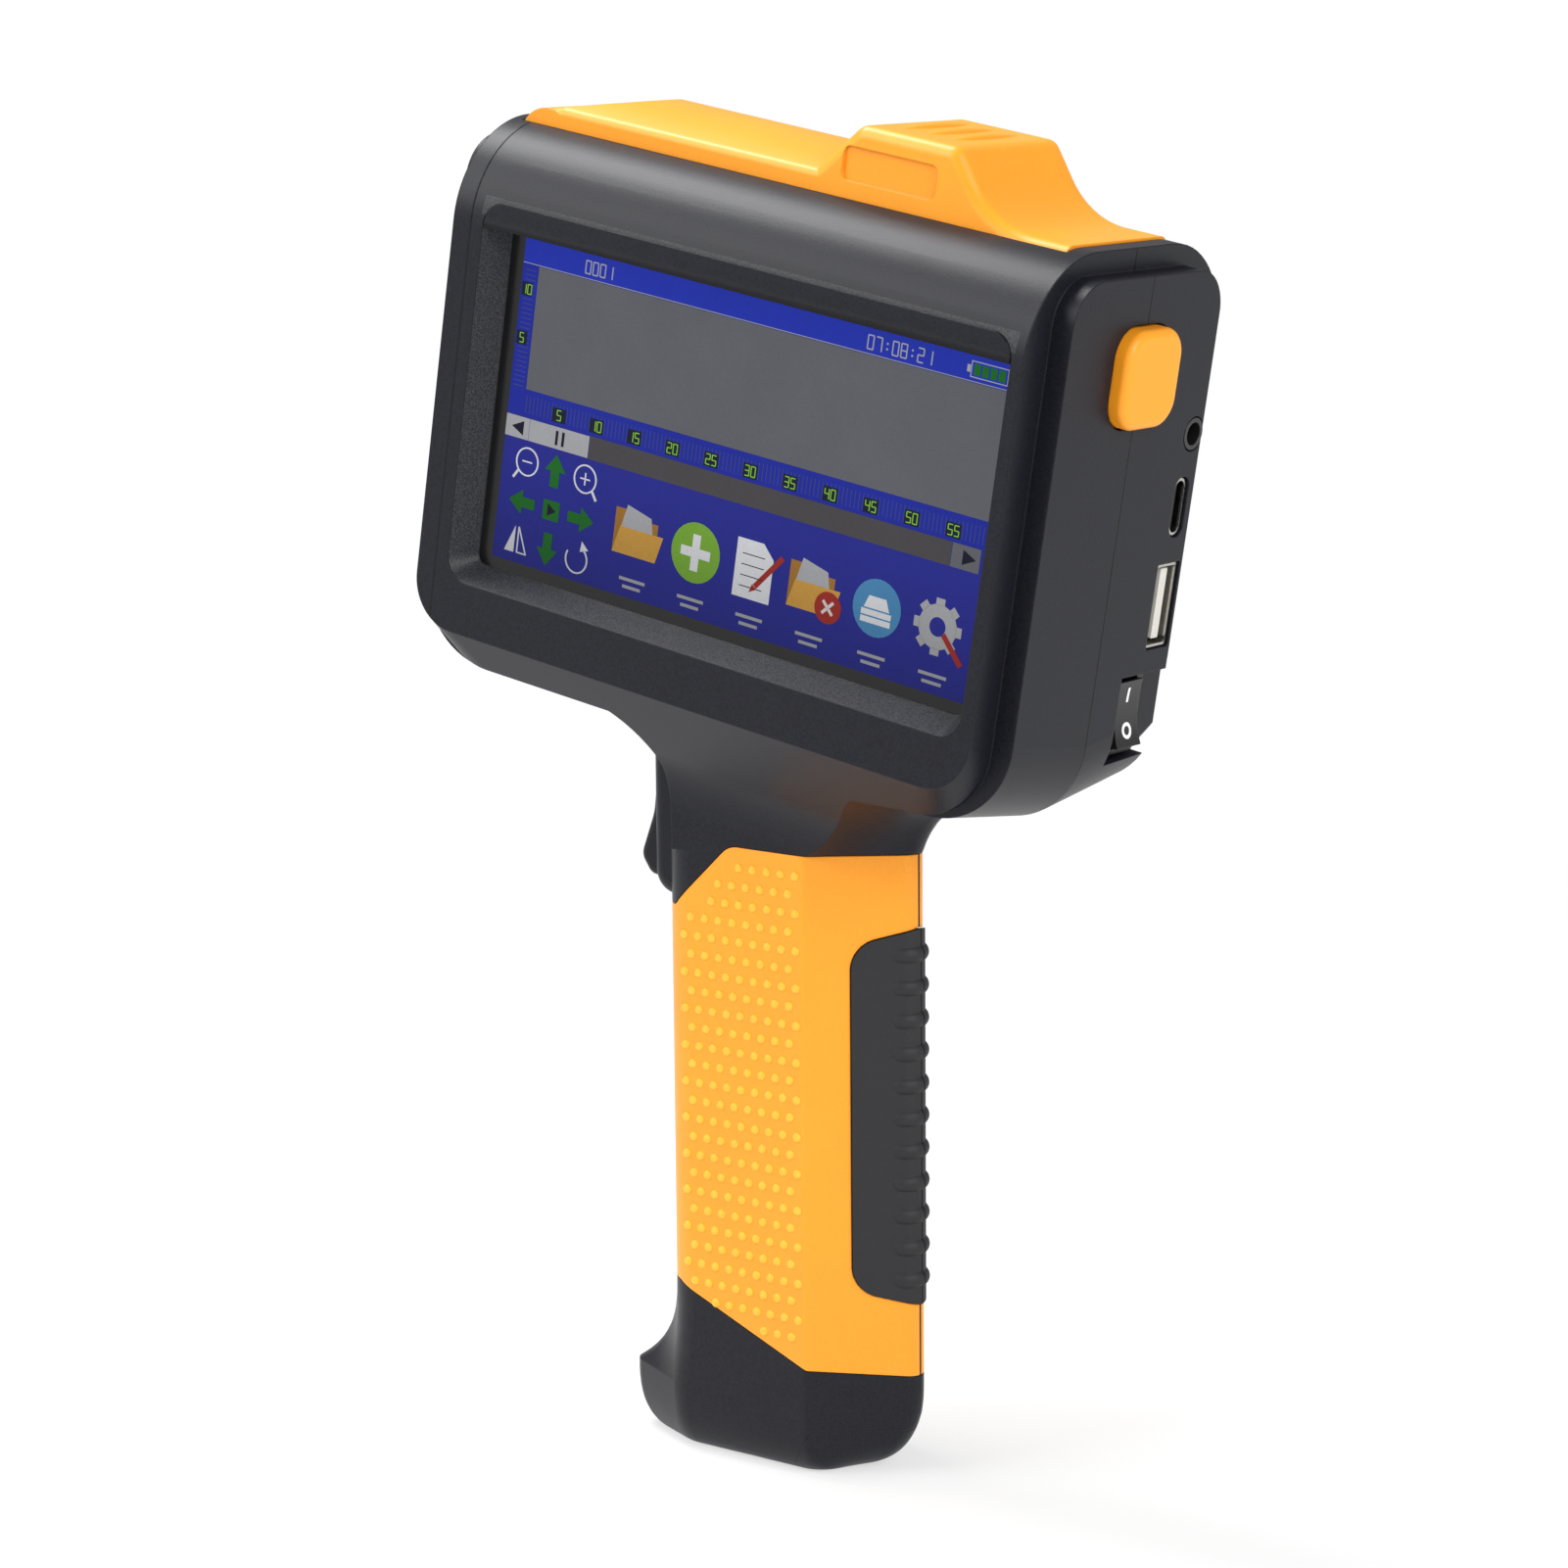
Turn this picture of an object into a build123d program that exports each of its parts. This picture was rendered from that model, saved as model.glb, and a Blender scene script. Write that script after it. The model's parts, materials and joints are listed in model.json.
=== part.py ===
# Handheld ink printer with a touch screen, a pistol grip and a hinged cartridge lid.
# It stands on the foot of its grip: origin at the middle of the foot, Z up, X towards the rear end.
# The screen faces -Y, and the two casing halves part at Y = 0.
from build123d import *
from math import asin, cos, radians, sin, sqrt
import os

# Attitude of the head on the grip
head_tilt = 9.5  # degrees, nose up
screen_x = 11.0  # middle of the screen
screen_z = 164.5

# Head: wide band with the screen, and a middle body that stands past it at both ends
head_half = 26.1
nose_front = -57.0
nose_seam = -53.4
head_rear = 53.0
head_top = 42.4
head_round = 16.0
face_bottom = -39.2
belly_half = 19.9
belly_edge = -45.2
belly_bottom = -48.2
end_step = 3.7
end_top = 38.9
end_round = 7.0
face_corner = 8.0
belly_corner = 14.3
wall = 2.2

# Screen window and screen stack
window_length = 96.6
window_height = 56.2
window_bevel = 2.6
window_depth = 4.7
window_corner = 1.6
lens_length = 101.0
lens_height = 61.0
lens_thick = 1.1
panel_thick = 3.0
frame_thick = 1.2
frame_reach = 47.6
frame_rise = 32.2
frame_window_length = 80.0
frame_window_height = 44.0
lcd_margin = 0.3
ear_x = 44.0
ear_z = 34.6
ear_size = 6.4
standoff_height = 1.6
board_thick = 1.5
board_length = 92.0
board_height = 58.0
board_screw_x = 40.0
board_screw_z = 25.0

# Grip
grip_front = -16.3
grip_shoulder = -9.5
grip_ridge = 16.6
grip_rear = 32.0
grip_half = 12.4
grip_nose_half = 4.0
grip_corner = 7.0
ridge_round = 1.6
rear_round = 3.0
skin = 1.5  # thickness of the coloured panels
core_wall = 1.5
skin_gap = 0.15

# Neck between grip and head
neck_drop = 55.6
neck_blend = 15.0
neck_tuck = 1.0  # the wedge's lower line runs this far inside the head
neck_front_arc = 12.0
neck_bottom = 100.0
neck_top = 122.0
scoop_bottom = 101.5
scoop_round = 12.0
scoop_rise = 11.8
scoop_spread = 1.42  # at the ridge the faces spread by this much for each mm of rise
scoop_past = 2.0
scoop_steps = (0.2, 0.4, 0.6, 0.8, 0.92, 1)

# Coloured panel outline, seen from the side
panel_top = 101.7
panel_slant_x = 2.0
panel_slant_z = 90.8
panel_bottom_front = 28.6
panel_bottom_ridge = 18.0
panel_bottom_rear = 16.6
panel_corner = 4.0

# Rubber pad on the rear faces of the grip
pad_width = 12.2
pad_top = 90.2
pad_bottom = 28.3
pad_fall = 2.9  # the upper and lower edges draw in by this towards the front
pad_corner = 5.0
pad_proud = 0.4
rib_count = 11
rib_pitch = 5.3
rib_round = 4.0  # each rib is the rim of a round disc across the seam
rib_width = 3.2
rib_height = 0.6

# Foot
foot_front = -24.6
foot_flare_top = 27.0
foot_flare_bottom = 11.0
foot_bevel = 8.5
foot_bevel_in = 4.6
foot_toe_in = 6.0
foot_heel = 14.0
foot_heel_round = 6.0
foot_wall = 2.6
cap_cut_x = 13.0
cap_step = 1.0
cap_shoulder_x = 17.0
cap_cut_z = 7.5
cap_stud_x = 21.0
cap_stud = 1.2
cap_stud_length = 1.8
cap_stud_y = 2.6

# Lid over the cartridge
lid_half = 13.7
lid_gap = 0.3
lid_rear = 49.5
lid_seat = 39.7
lid_level_x = -30.0
lid_tail = 42.7
lid_shoulder = 44.8
lid_low = 47.9
hump_top = 53.2
hump_front = 9.8
hump_rear = 28.0
hump_ramp = 8.4
hump_slope = 8.2
hump_front_round = 3.0
hump_rear_round = 2.5
hump_sink = 0.6
ramp_hollow = 7.0
slope_hollow = 14.0
lid_wall = 1.8
lid_edge = 2.0
low_edge = 1.4
lid_rail = 1.4
lid_ledge = 1.2
hinge_x = -50.4
hinge_z = 39.4
hinge_round = 5.2
hinge_boss = 2.7
hinge_pin = 0.9
hinge_pin_reach = 16.6
thumb_rib = 0.6
thumb_rib_width = 2.4
thumb_rib_count = 3
thumb_rib_pitch = 4.6
thumb_rib_half = 12.6
hump_panel_length = 17.6
hump_panel_height = 5.2
hump_panel_depth = 0.6
hump_panel_x = 16.4
hump_panel_z = 47.2

# Lid catch and release button
button_width = 14.6
button_height = 15.2
button_corner = 4.5
button_z = 23.7
button_proud = 2.6
button_gap = 0.3
button_flange = 1.8
button_flange_lip = 1.8
button_edge = 1.3
catch_half = 4.0
catch_x = 45.2
catch_thick = 1.6
catch_lip = 1.4
catch_bottom = 35.2
hook_gap = 0.3
hook_thick = 1.6
spring_seat = 45.6
spring_z = 21.5
spring_radius = 3.0
spring_wire = 0.7

# Trigger
trigger_pivot_x = -12.4
trigger_pivot_z = 113.6
trigger_half = 5.8
trigger_gap = 0.35
trigger_hub = 3.2
trigger_brow_x = -18.3
trigger_brow_z = 110.0
trigger_waist_x = -19.0
trigger_waist_z = 104.0
trigger_tip_x = -21.8
trigger_tip_z = 96.6
trigger_chin_x = -19.6
trigger_bottom = 93.4
trigger_rounds = [3, 8, 10, 2.6, 2, 4, 3]
trigger_back = -9.0
trigger_edge = 1.4
trigger_pin = 1.4
trigger_pin_reach = 8.0
trigger_spring_z = 107.0
trigger_spring = 2.2
trigger_seat_x = -4.0
trigger_seat_thick = 1.6
collar_half = 8.6
collar_front = -16.9
collar_bottom = 91.2
collar_round = 4.0
collar_edge = 2.4
collar_top = 120.0
slot_bottom = 92.0
slot_top = 117.8

# Trigger switch
switch_x = -4.7
switch_bottom = 91.5
switch_height = 12.8
switch_deep = 6.4
switch_half = 2.9
switch_peg = 1.1
switch_pegs = (95.0, 101.0)
switch_plunger = 1.6

# Battery cells
cell_radius = 8.1
cell_length = 65.0
cell_front_x = -2.6
cell_rear_x = 13.9
cell_floor = 19.6
cell_nub = 2.8
cell_nub_height = 1.2
tray_thick = 1.6
tray_rim = 3.0
tray_gap = 0.2
tray_legs = ((-10.0, 3.0), (6.0, 4.0))  # middle and length of each leg
tray_leg_half = 3.0

# Ink cartridge, its cradle and the print window
cradle_half = 11.4
cradle_wall = 1.2
cradle_floor = -21.0
cradle_top = 29.0
cradle_front = -52.6
cradle_rear = 24.0
cartridge_gap = 0.3
cartridge_top = 33.0
cartridge_front = -44.0
snout_half = 6.8
snout_bottom = -17.0
snout_top = 0.5
snout_front = -58.6
nozzle_thick = 0.4
contact_thick = 0.8
cradle_lug_x = (-30.0, 10.0)
cradle_lug_z = -25.5

# Guide rollers on the nose
roller_radius = 3.6
roller_y = 14.3
roller_x = -58.2
roller_bottom = -20.5
roller_top = 3.5
roller_gap = 0.4
axle_radius = 1.0
axle_reach = 3.4
nose_plate = 5.2
nose_screws = ((16.3, 33.4), (13.0, -39.0))
nose_boss_length = 5.4

# Rear sockets
jack_y = 17.6
jack_z = 13.4
jack_bore = 1.8
jack_barrel = 2.5
usb_c_y = 16.65
usb_c_z = 2.0
usb_c_width = 8.94
usb_c_thick = 3.26
usb_a_y = 16.3
usb_a_z = -13.5
usb_a_width = 13.1
usb_a_thick = 5.7
shell_metal = 0.4
socket_gap = 0.25
port_board_thick = 1.5
port_board_front = 36.5
port_board_rear = 53.0
port_board_bottom = -21.0
port_board_top = 17.4
port_post_z = (-4.5, 7.5)
port_post_x = 39.0

# Power switch in its notch
notch_left = 7.6
notch_top = -24.0
notch_bottom = -38.2
notch_floor = 52.1
power_y = 13.5
power_z = -31.1
bezel_width = 10.2
bezel_height = 13.4
bezel_thick = 1.5
bezel_corner = 1.0
body_width = 8.4
body_height = 12.6
body_depth = 11.0
rocker_pin = 0.9
rocker_width = 6.4
rocker_half = 5.2
rocker_gap = 0.3
rocker_swing = 7.0  # degrees each way from the middle
rocker_pivot = 52.7
rocker_reach = 2.9
rocker_dip = 0.9
rocker_hub = 2.2

# Fits
pivot_gap = 0.08  # round a pivot pin
pin_gap = 0.03  # round a pin in the hole that holds it

# Fasteners
screw_shank = 0.95
screw_pilot = 1.0
screw_head = 2.3
screw_head_height = 1.6
screw_clear = 1.25
screw_seat = 5.0
screw_grip = 7.0
screw_head_gap = 0.3
boss_left = 2.7
boss_right = 3.6
small_shank = 0.7
small_head = 1.5
small_head_height = 1.0
small_length = 5.4
small_pilot = 0.75
small_boss = 2.2
head_screws = ((-34.0, -40.6), (38.0, -40.6), (30.0, 35.2))
grip_screws = ((7.0, 109.0), (-3.0, 10.0))

# Planes of the tilted head: local axes are (x, y), (x, z) and (y, z) of the head
tilt_cos = cos(radians(head_tilt))
tilt_sin = sin(radians(head_tilt))
head_axis = Vector(tilt_cos, 0, -tilt_sin)
head_up = Vector(tilt_sin, 0, tilt_cos)
screen_centre = (screen_x, 0, screen_z)
head_plan = Plane(origin=screen_centre, x_dir=head_axis, z_dir=head_up)
head_side = Plane(origin=screen_centre, x_dir=head_axis, z_dir=(0, -1, 0))
head_end = Plane(origin=screen_centre, x_dir=(0, 1, 0), z_dir=head_axis)
head_cross = Plane(origin=screen_centre, x_dir=(0, 1, 0), z_dir=head_up)
far = 80.0  # longer than any cut through the head

wedge_slope = (head_half - grip_half) / (neck_drop + face_bottom)
bevel_half = head_half - (face_bottom - belly_edge) * wedge_slope
middle_edge = belly_bottom + (belly_edge - belly_bottom) * belly_half / bevel_half
middle_front = nose_front - end_step
middle_rear = head_rear + end_step
rear_inner = middle_rear - wall
face_inner = head_half - wall
lens_front = head_half - window_depth
panel_front = lens_front - lens_thick
frame_front = panel_front - panel_thick
board_front = frame_front - frame_thick - standoff_height
board_back = board_front - board_thick
port_board_face = usb_a_y - usb_a_thick / 2
port_board_back = port_board_face - port_board_thick
cradle_inner = cradle_half - cradle_wall
contact_face = cradle_rear - cradle_wall - contact_thick
nose_inner = middle_front + nose_plate
flange_face = rear_inner - pin_gap
flange_back = flange_face - button_flange
arm_top = catch_bottom - 2 * hook_gap
hook_tip = catch_x - catch_lip - hook_gap
os.makedirs("parts", exist_ok=True)

rear_run = Vector(grip_rear - grip_ridge, grip_half, 0)
rear_width = rear_run.length
rear_normal = Vector(grip_half, grip_ridge - grip_rear, 0)
rear_face = Plane(origin=(grip_ridge, -grip_half, 0), x_dir=rear_run, z_dir=rear_normal)
flare_steps = (0, 0.35, 0.6, 0.8, 1)
bevel_angles = (90, 70, 50, 30, 0)


def under_head(x, z):
    """Point of the part's XZ plane at X = x whose height in the head is z."""
    along = (x - screen_x - z * tilt_sin) / tilt_cos
    return (x, screen_z - along * tilt_sin + z * tilt_cos)


def finish(piece, name):
    piece.part.label = name
    export_step(piece.part, f"parts/{name}.step")


def head_box(x0, x1, y0, y1, z0, z1):
    """A block given by its limits in the head's own axes."""
    with BuildPart() as block:
        with BuildSketch(head_plan.offset(z0)):
            with Locations(((x0 + x1) / 2, (y0 + y1) / 2)):
                Rectangle(x1 - x0, y1 - y0)
        extrude(amount=z1 - z0)
    return block.part


def head_rod(x, z, y0, y1, radius):
    """A rod across the head, along Y."""
    with BuildPart() as rod:
        with BuildSketch(head_side.offset(-y1)):
            with Locations((x, z)):
                Circle(radius)
        extrude(amount=y1 - y0)
    return rod.part


def end_rod(y, z, x0, x1, radius):
    """A rod along the head."""
    with BuildPart() as rod:
        with BuildSketch(head_end.offset(x0)):
            with Locations((y, z)):
                Circle(radius)
        extrude(amount=x1 - x0)
    return rod.part


def end_block(y, z, width, height, x0, x1, corner):
    """A block along the head with rounded corners, centred at (y, z)."""
    with BuildPart() as block:
        with BuildSketch(head_end.offset(x0)):
            with Locations((y, z)):
                RectangleRounded(width, height, corner)
        extrude(amount=x1 - x0)
    return block.part


def grip_rod(x, z, y0, y1, radius):
    """A rod across the grip, along Y."""
    with BuildPart() as rod:
        with BuildSketch(Plane.XZ.offset(-y1)):
            with Locations((x, z)):
                Circle(radius)
        extrude(amount=y1 - y0)
    return rod.part


def side_outline(depth, front, rear, bottom, top, corner):
    """Side outline of the head at one depth: two round lower corners."""
    with BuildSketch(head_side.offset(depth)) as outline:
        with BuildLine():
            FilletPolyline(
                (front, top), (front, bottom), (rear, bottom), (rear, top),
                radius=[0, corner, corner, 0], close=True,
            )
        make_face()
    return outline.sketch


def end_profile(half, top, rounding):
    """Upright prism along the whole head with two round upper corners."""
    with BuildPart() as prism:
        with BuildSketch(head_end.offset(-far)):
            with BuildLine():
                FilletPolyline(
                    (-half, -far), (half, -far), (half, top), (-half, top),
                    radius=[0, 0, rounding, rounding], close=True,
                )
            make_face()
        extrude(amount=2 * far)
    return prism.part


def head_form(inset):
    """The head as one closed form, or its hollow when inset by the wall."""
    wide_levels = (
        (head_half - inset, face_bottom + inset / 2, face_corner - inset),
        (bevel_half - inset, belly_edge + inset, belly_corner - end_step / 2 - inset),
        (0, belly_bottom + inset, belly_corner - inset),
        (inset - bevel_half, belly_edge + inset, belly_corner - end_step / 2 - inset),
        (inset - head_half, face_bottom + inset / 2, face_corner - inset),
    )
    middle_levels = (
        (belly_half - inset, middle_edge + inset),
        (0, belly_bottom + inset),
        (inset - belly_half, middle_edge + inset),
    )
    with BuildPart() as wide:
        outlines = [
            side_outline(depth, nose_front + inset, head_rear - inset, bottom, head_top - inset, corner)
            for depth, bottom, corner in wide_levels
        ]
        loft(outlines, ruled=True)
        add(end_profile(head_half - inset, head_top - inset, head_round - inset), mode=Mode.INTERSECT)
    with BuildPart() as middle:
        outlines = [
            side_outline(
                depth, middle_front + inset, middle_rear - inset, bottom, end_top - inset,
                belly_corner - inset,
            )
            for depth, bottom in middle_levels
        ]
        loft(outlines, ruled=True)
        add(end_profile(belly_half - inset, end_top - inset, end_round - inset), mode=Mode.INTERSECT)
    with BuildPart() as form:
        add(wide.part)
        add(middle.part)
    return form.part


def grip_section(inset):
    """Grip section: round front, flat sides, and two slanting rear faces that meet at the seam."""
    with BuildSketch() as section:
        with BuildLine():
            FilletPolyline(
                (grip_ridge, -grip_half), (grip_rear, 0), (grip_ridge, grip_half),
                (grip_shoulder, grip_half), (grip_front, grip_nose_half),
                (grip_front, -grip_nose_half), (grip_shoulder, -grip_half),
                radius=[
                    ridge_round, rear_round, ridge_round, grip_corner,
                    grip_nose_half, grip_nose_half, grip_corner,
                ],
                close=True,
            )
        make_face()
        if inset:
            offset(amount=-inset, kind=Kind.INTERSECTION, mode=Mode.REPLACE)
    return section.sketch


def grip_form(inset, bottom, top):
    with BuildPart() as form:
        with BuildSketch(Plane.XY.offset(bottom)):
            add(grip_section(inset))
        extrude(amount=top - bottom)
    return form.part


def part_box(x0, x1, y0, y1, z0, z1):
    """A block given by its limits in the part's own axes."""
    with BuildPart() as block:
        with BuildSketch(Plane.XY.offset(z0)):
            with Locations(((x0 + x1) / 2, (y0 + y1) / 2)):
                Rectangle(x1 - x0, y1 - y0)
        extrude(amount=z1 - z0)
    return block.part


def scoop_section(rise, inset):
    """Plan of the neck at a rise above the grip: the two rear faces spread, more at the ridge than at the seam."""
    z = scoop_bottom + rise
    seam_out = scoop_round - sqrt(scoop_round**2 - rise**2) - inset
    ridge = rear_face.from_local_coords(Vector(-scoop_past, z, scoop_spread * rise - inset))
    beyond = rear_face.from_local_coords(Vector(-scoop_past, z, far))
    seam_x = grip_rear + seam_out * rear_width / grip_half
    with BuildSketch(Plane.XY.offset(z)) as section:
        with BuildLine():
            FilletPolyline(
                (-far, beyond.Y), (beyond.X, beyond.Y), (ridge.X, ridge.Y), (seam_x, 0),
                (ridge.X, -ridge.Y), (beyond.X, -beyond.Y), (-far, -beyond.Y),
                radius=[0, 0, 0, rear_round, 0, 0, 0], close=True,
            )
        make_face()
    return section.sketch


def scoop_form(inset):
    """What the hollows for thumb and finger leave of the neck."""
    low = scoop_section(0, inset)
    with BuildPart() as kept:
        extrude(low, amount=neck_bottom - scoop_bottom - wall)
        loft([low] + [scoop_section(share * scoop_rise, inset) for share in scoop_steps])
        add(part_box(-far, 2 * far, -far, far, scoop_bottom + scoop_rise, screen_z))
    return kept.part


def neck_form(inset):
    """Wedge that widens from the grip to the head, with hollows for thumb and finger at its rear."""
    front = grip_shoulder + inset
    neck_line = belly_edge + neck_tuck + inset
    with BuildPart() as form:
        with BuildSketch(Plane.XZ.offset(-far)):
            with BuildLine():
                FilletPolyline(
                    (front, neck_bottom), under_head(front, neck_line), under_head(front - far, neck_line),
                    (front - far, screen_z),
                    (grip_rear + far, screen_z), (grip_rear + far, neck_bottom),
                    radius=[0, neck_front_arc, 0, 0, 0, 0], close=True,
                )
            make_face()
        extrude(amount=2 * far)
        with BuildSketch(head_end.offset(-far)):
            with BuildLine():
                FilletPolyline(
                    (-head_half + inset, face_bottom), (-grip_half + inset, -neck_drop),
                    (-grip_half + inset, -far), (grip_half - inset, -far), (grip_half - inset, -neck_drop),
                    (head_half - inset, face_bottom),
                    radius=[0, neck_blend, 0, 0, neck_blend, 0], close=True,
                )
            make_face()
        extrude(amount=2 * far, mode=Mode.INTERSECT)
        add(
            head_box(nose_front + belly_corner, head_rear - belly_corner, -far, far, -far, 0),
            mode=Mode.INTERSECT,
        )
        add(scoop_form(inset), mode=Mode.INTERSECT)
    return form.part


def foot_section(z, share):
    """Plan of the foot at one height: the front moves out by a share of the flare, the edges round in below."""
    low = max(0, 1 - z / foot_bevel)
    heel = max(0, 1 - z / foot_heel)
    tuck = 1 - sqrt(1 - low**2)
    front = grip_front + (foot_front - grip_front) * share + foot_toe_in * tuck
    half = grip_half - foot_bevel_in * tuck
    rear = grip_rear - foot_heel * (1 - sqrt(1 - heel**2))
    nose = grip_nose_half + (grip_front - front) / 8
    ridge_fillet = ridge_round + (foot_heel_round - ridge_round) * tuck
    with BuildSketch(Plane.XY.offset(z)) as section:
        with BuildLine():
            FilletPolyline(
                (grip_ridge, -half), (rear, 0), (grip_ridge, half), (grip_shoulder, half),
                (front, nose), (front, -nose), (grip_shoulder, -half),
                radius=[
                    ridge_fillet, rear_round, ridge_fillet, grip_corner,
                    grip_nose_half, grip_nose_half, grip_corner,
                ],
                close=True,
            )
        make_face()
    return section.sketch


def foot_form():
    """Foot of the grip: the front flares out to a toe, and the lower edges and the heel are round."""
    flare_height = foot_flare_top - foot_flare_bottom
    with BuildPart() as form:
        loft([
            foot_section(foot_flare_top - flare_height * share, share**3) for share in flare_steps
        ])
        loft([
            foot_section(foot_bevel * (1 - sin(radians(angle))), 1) for angle in bevel_angles
        ] + [foot_section(foot_flare_bottom, 1)])
    return form.part


# Collar round the trigger
with BuildPart() as collar:
    with BuildSketch(Plane.XZ.offset(-collar_half)):
        with BuildLine():
            FilletPolyline(
                (collar_front, collar_top), (collar_front, collar_bottom),
                (grip_shoulder, collar_bottom), (grip_shoulder, collar_top),
                radius=[0, collar_round, 0, 0], close=True,
            )
        make_face()
    extrude(amount=2 * collar_half)
    fillet(collar.edges().filter_by(Axis.Z).group_by(Axis.X)[0], collar_edge)

# Outer form of the casing
with BuildPart() as outer:
    add(head_form(0))
    add(neck_form(0))
    add(grip_form(0, foot_flare_top, neck_top))
    add(foot_form())
    add(collar.part)


def panel_region(grow):
    """Prism over the coloured part of the grip, seen from the side."""
    with BuildPart() as region:
        with BuildSketch(Plane.XZ.offset(-far)):
            with BuildLine():
                FilletPolyline(
                    (grip_front - far, panel_bottom_front), (grip_shoulder, panel_bottom_front),
                    (grip_ridge, panel_bottom_ridge), (grip_rear, panel_bottom_rear),
                    (grip_rear + far, panel_bottom_rear), (grip_rear + far, panel_top),
                    (panel_slant_x, panel_top), (grip_shoulder, panel_slant_z),
                    (grip_front - far, panel_slant_z),
                    radius=[0, 1, 0, 0, 0, 0, panel_corner, 1, 0], close=True,
                )
            make_face()
            if grow:
                offset(amount=grow, kind=Kind.INTERSECTION, mode=Mode.REPLACE)
        extrude(amount=2 * far)
    return region.part


def pad_region(grow):
    """Prisms over the rubber pads, square to the grip's slanting rear faces."""
    inner = rear_width - pad_width
    with BuildPart() as region:
        with BuildSketch(rear_face.offset(-2 * skin)):
            with BuildLine():
                FilletPolyline(
                    (rear_width, pad_bottom), (rear_width + far, pad_bottom), (rear_width + far, pad_top),
                    (rear_width, pad_top), (inner, pad_top - pad_fall), (inner, pad_bottom + pad_fall),
                    radius=[0, 0, 0, 0, pad_corner, pad_corner], close=True,
                )
            make_face()
            if grow:
                offset(amount=grow, kind=Kind.INTERSECTION, mode=Mode.REPLACE)
        extrude(amount=4 * skin)
        split(bisect_by=Plane.XZ, keep=Keep.TOP)
        mirror(about=Plane.XZ)
    return region.part


def keep_side(side):
    """Half space on one side of the parting plane, clear of it by half the skin gap."""
    with BuildPart() as half:
        with BuildSketch(Plane.XZ.offset(-side * (far + skin_gap / 2))):
            Rectangle(8 * far, 8 * far)
        extrude(amount=-side * far, both=True)
    return half.part


# Hollow of the casing
with BuildPart() as hollow:
    add(head_form(wall))
    add(neck_form(wall))
    add(grip_form(skin + core_wall, foot_wall, neck_top))
    with BuildSketch(Plane.XZ.offset(-far)):
        with BuildLine():
            Polyline(
                (cap_cut_x - foot_wall, -far), (cap_cut_x - foot_wall, cap_cut_z + foot_wall),
                (grip_rear + far, cap_cut_z + foot_wall), (grip_rear + far, -far), close=True,
            )
        make_face()
    extrude(amount=2 * far, mode=Mode.SUBTRACT)


def head_post(x, y, z0, z1, radius):
    """A rod up the head, along its own upright axis."""
    with BuildPart() as rod:
        with BuildSketch(head_plan.offset(z0)):
            with Locations((x, y)):
                Circle(radius)
        extrude(amount=z1 - z0)
    return rod.part


def screw(seat, x, y, facing, length, shank, head, head_height):
    """A cross-head screw: its head lies on the seat plane and faces along the normal times facing."""
    with BuildPart() as piece:
        with BuildSketch(seat):
            with Locations((x, y)):
                Circle(head)
        extrude(amount=facing * head_height)
        with BuildSketch(seat):
            with Locations((x, y)):
                Circle(shank)
        extrude(amount=-facing * length)
        with BuildSketch(seat.offset(facing * head_height)):
            with Locations((x, y)):
                Rectangle(head * 1.2, head * 0.3)
                Rectangle(head * 0.3, head * 1.2)
        extrude(amount=-facing * head_height / 2, mode=Mode.SUBTRACT)
    return piece.part


def turned(points, x, z, angle):
    """Points given about (x, z) on the head's side plane, turned by an angle in degrees."""
    turn_cos = cos(radians(angle))
    turn_sin = sin(radians(angle))
    return [(x + turn_cos * u - turn_sin * w, z + turn_sin * u + turn_cos * w) for u, w in points]


def lens(plane, along, across, half, bulge):
    """A rib pointed at both ends: an arc turned about its chord, which runs along the plane's x."""
    with BuildPart() as rib:
        with BuildSketch(plane):
            with BuildLine():
                ThreePointArc((along - half, across), (along, across + bulge), (along + half, across))
                Line((along + half, across), (along - half, across))
            make_face()
        revolve(axis=Axis(plane.from_local_coords(Vector(along - half, across, 0)), plane.x_dir))
    return rib.part


# Corner cap at the heel, parted from the casing by a level plane and a slanting one
cap_plane = Plane(origin=(cap_stud_x, 0, cap_cut_z), x_dir=(0, 1, 0), z_dir=(0, 0, 1))
with BuildPart() as cap_region:
    with BuildSketch(Plane.XZ.offset(-far)):
        with BuildLine():
            Polyline(
                (cap_cut_x, -wall), (cap_cut_x, cap_step), (cap_shoulder_x, cap_cut_z),
                (grip_rear + wall, cap_cut_z), (grip_rear + wall, -wall), close=True,
            )
        make_face()
    extrude(amount=2 * far)

with BuildPart() as base_cap:
    add(outer.part)
    add(cap_region.part, mode=Mode.INTERSECT)
    with BuildSketch(cap_plane):
        with Locations((-cap_stud_y, 0), (cap_stud_y, 0)):
            Circle(cap_stud)
    extrude(amount=cap_stud_length)
finish(base_cap, "base_cap")

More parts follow.
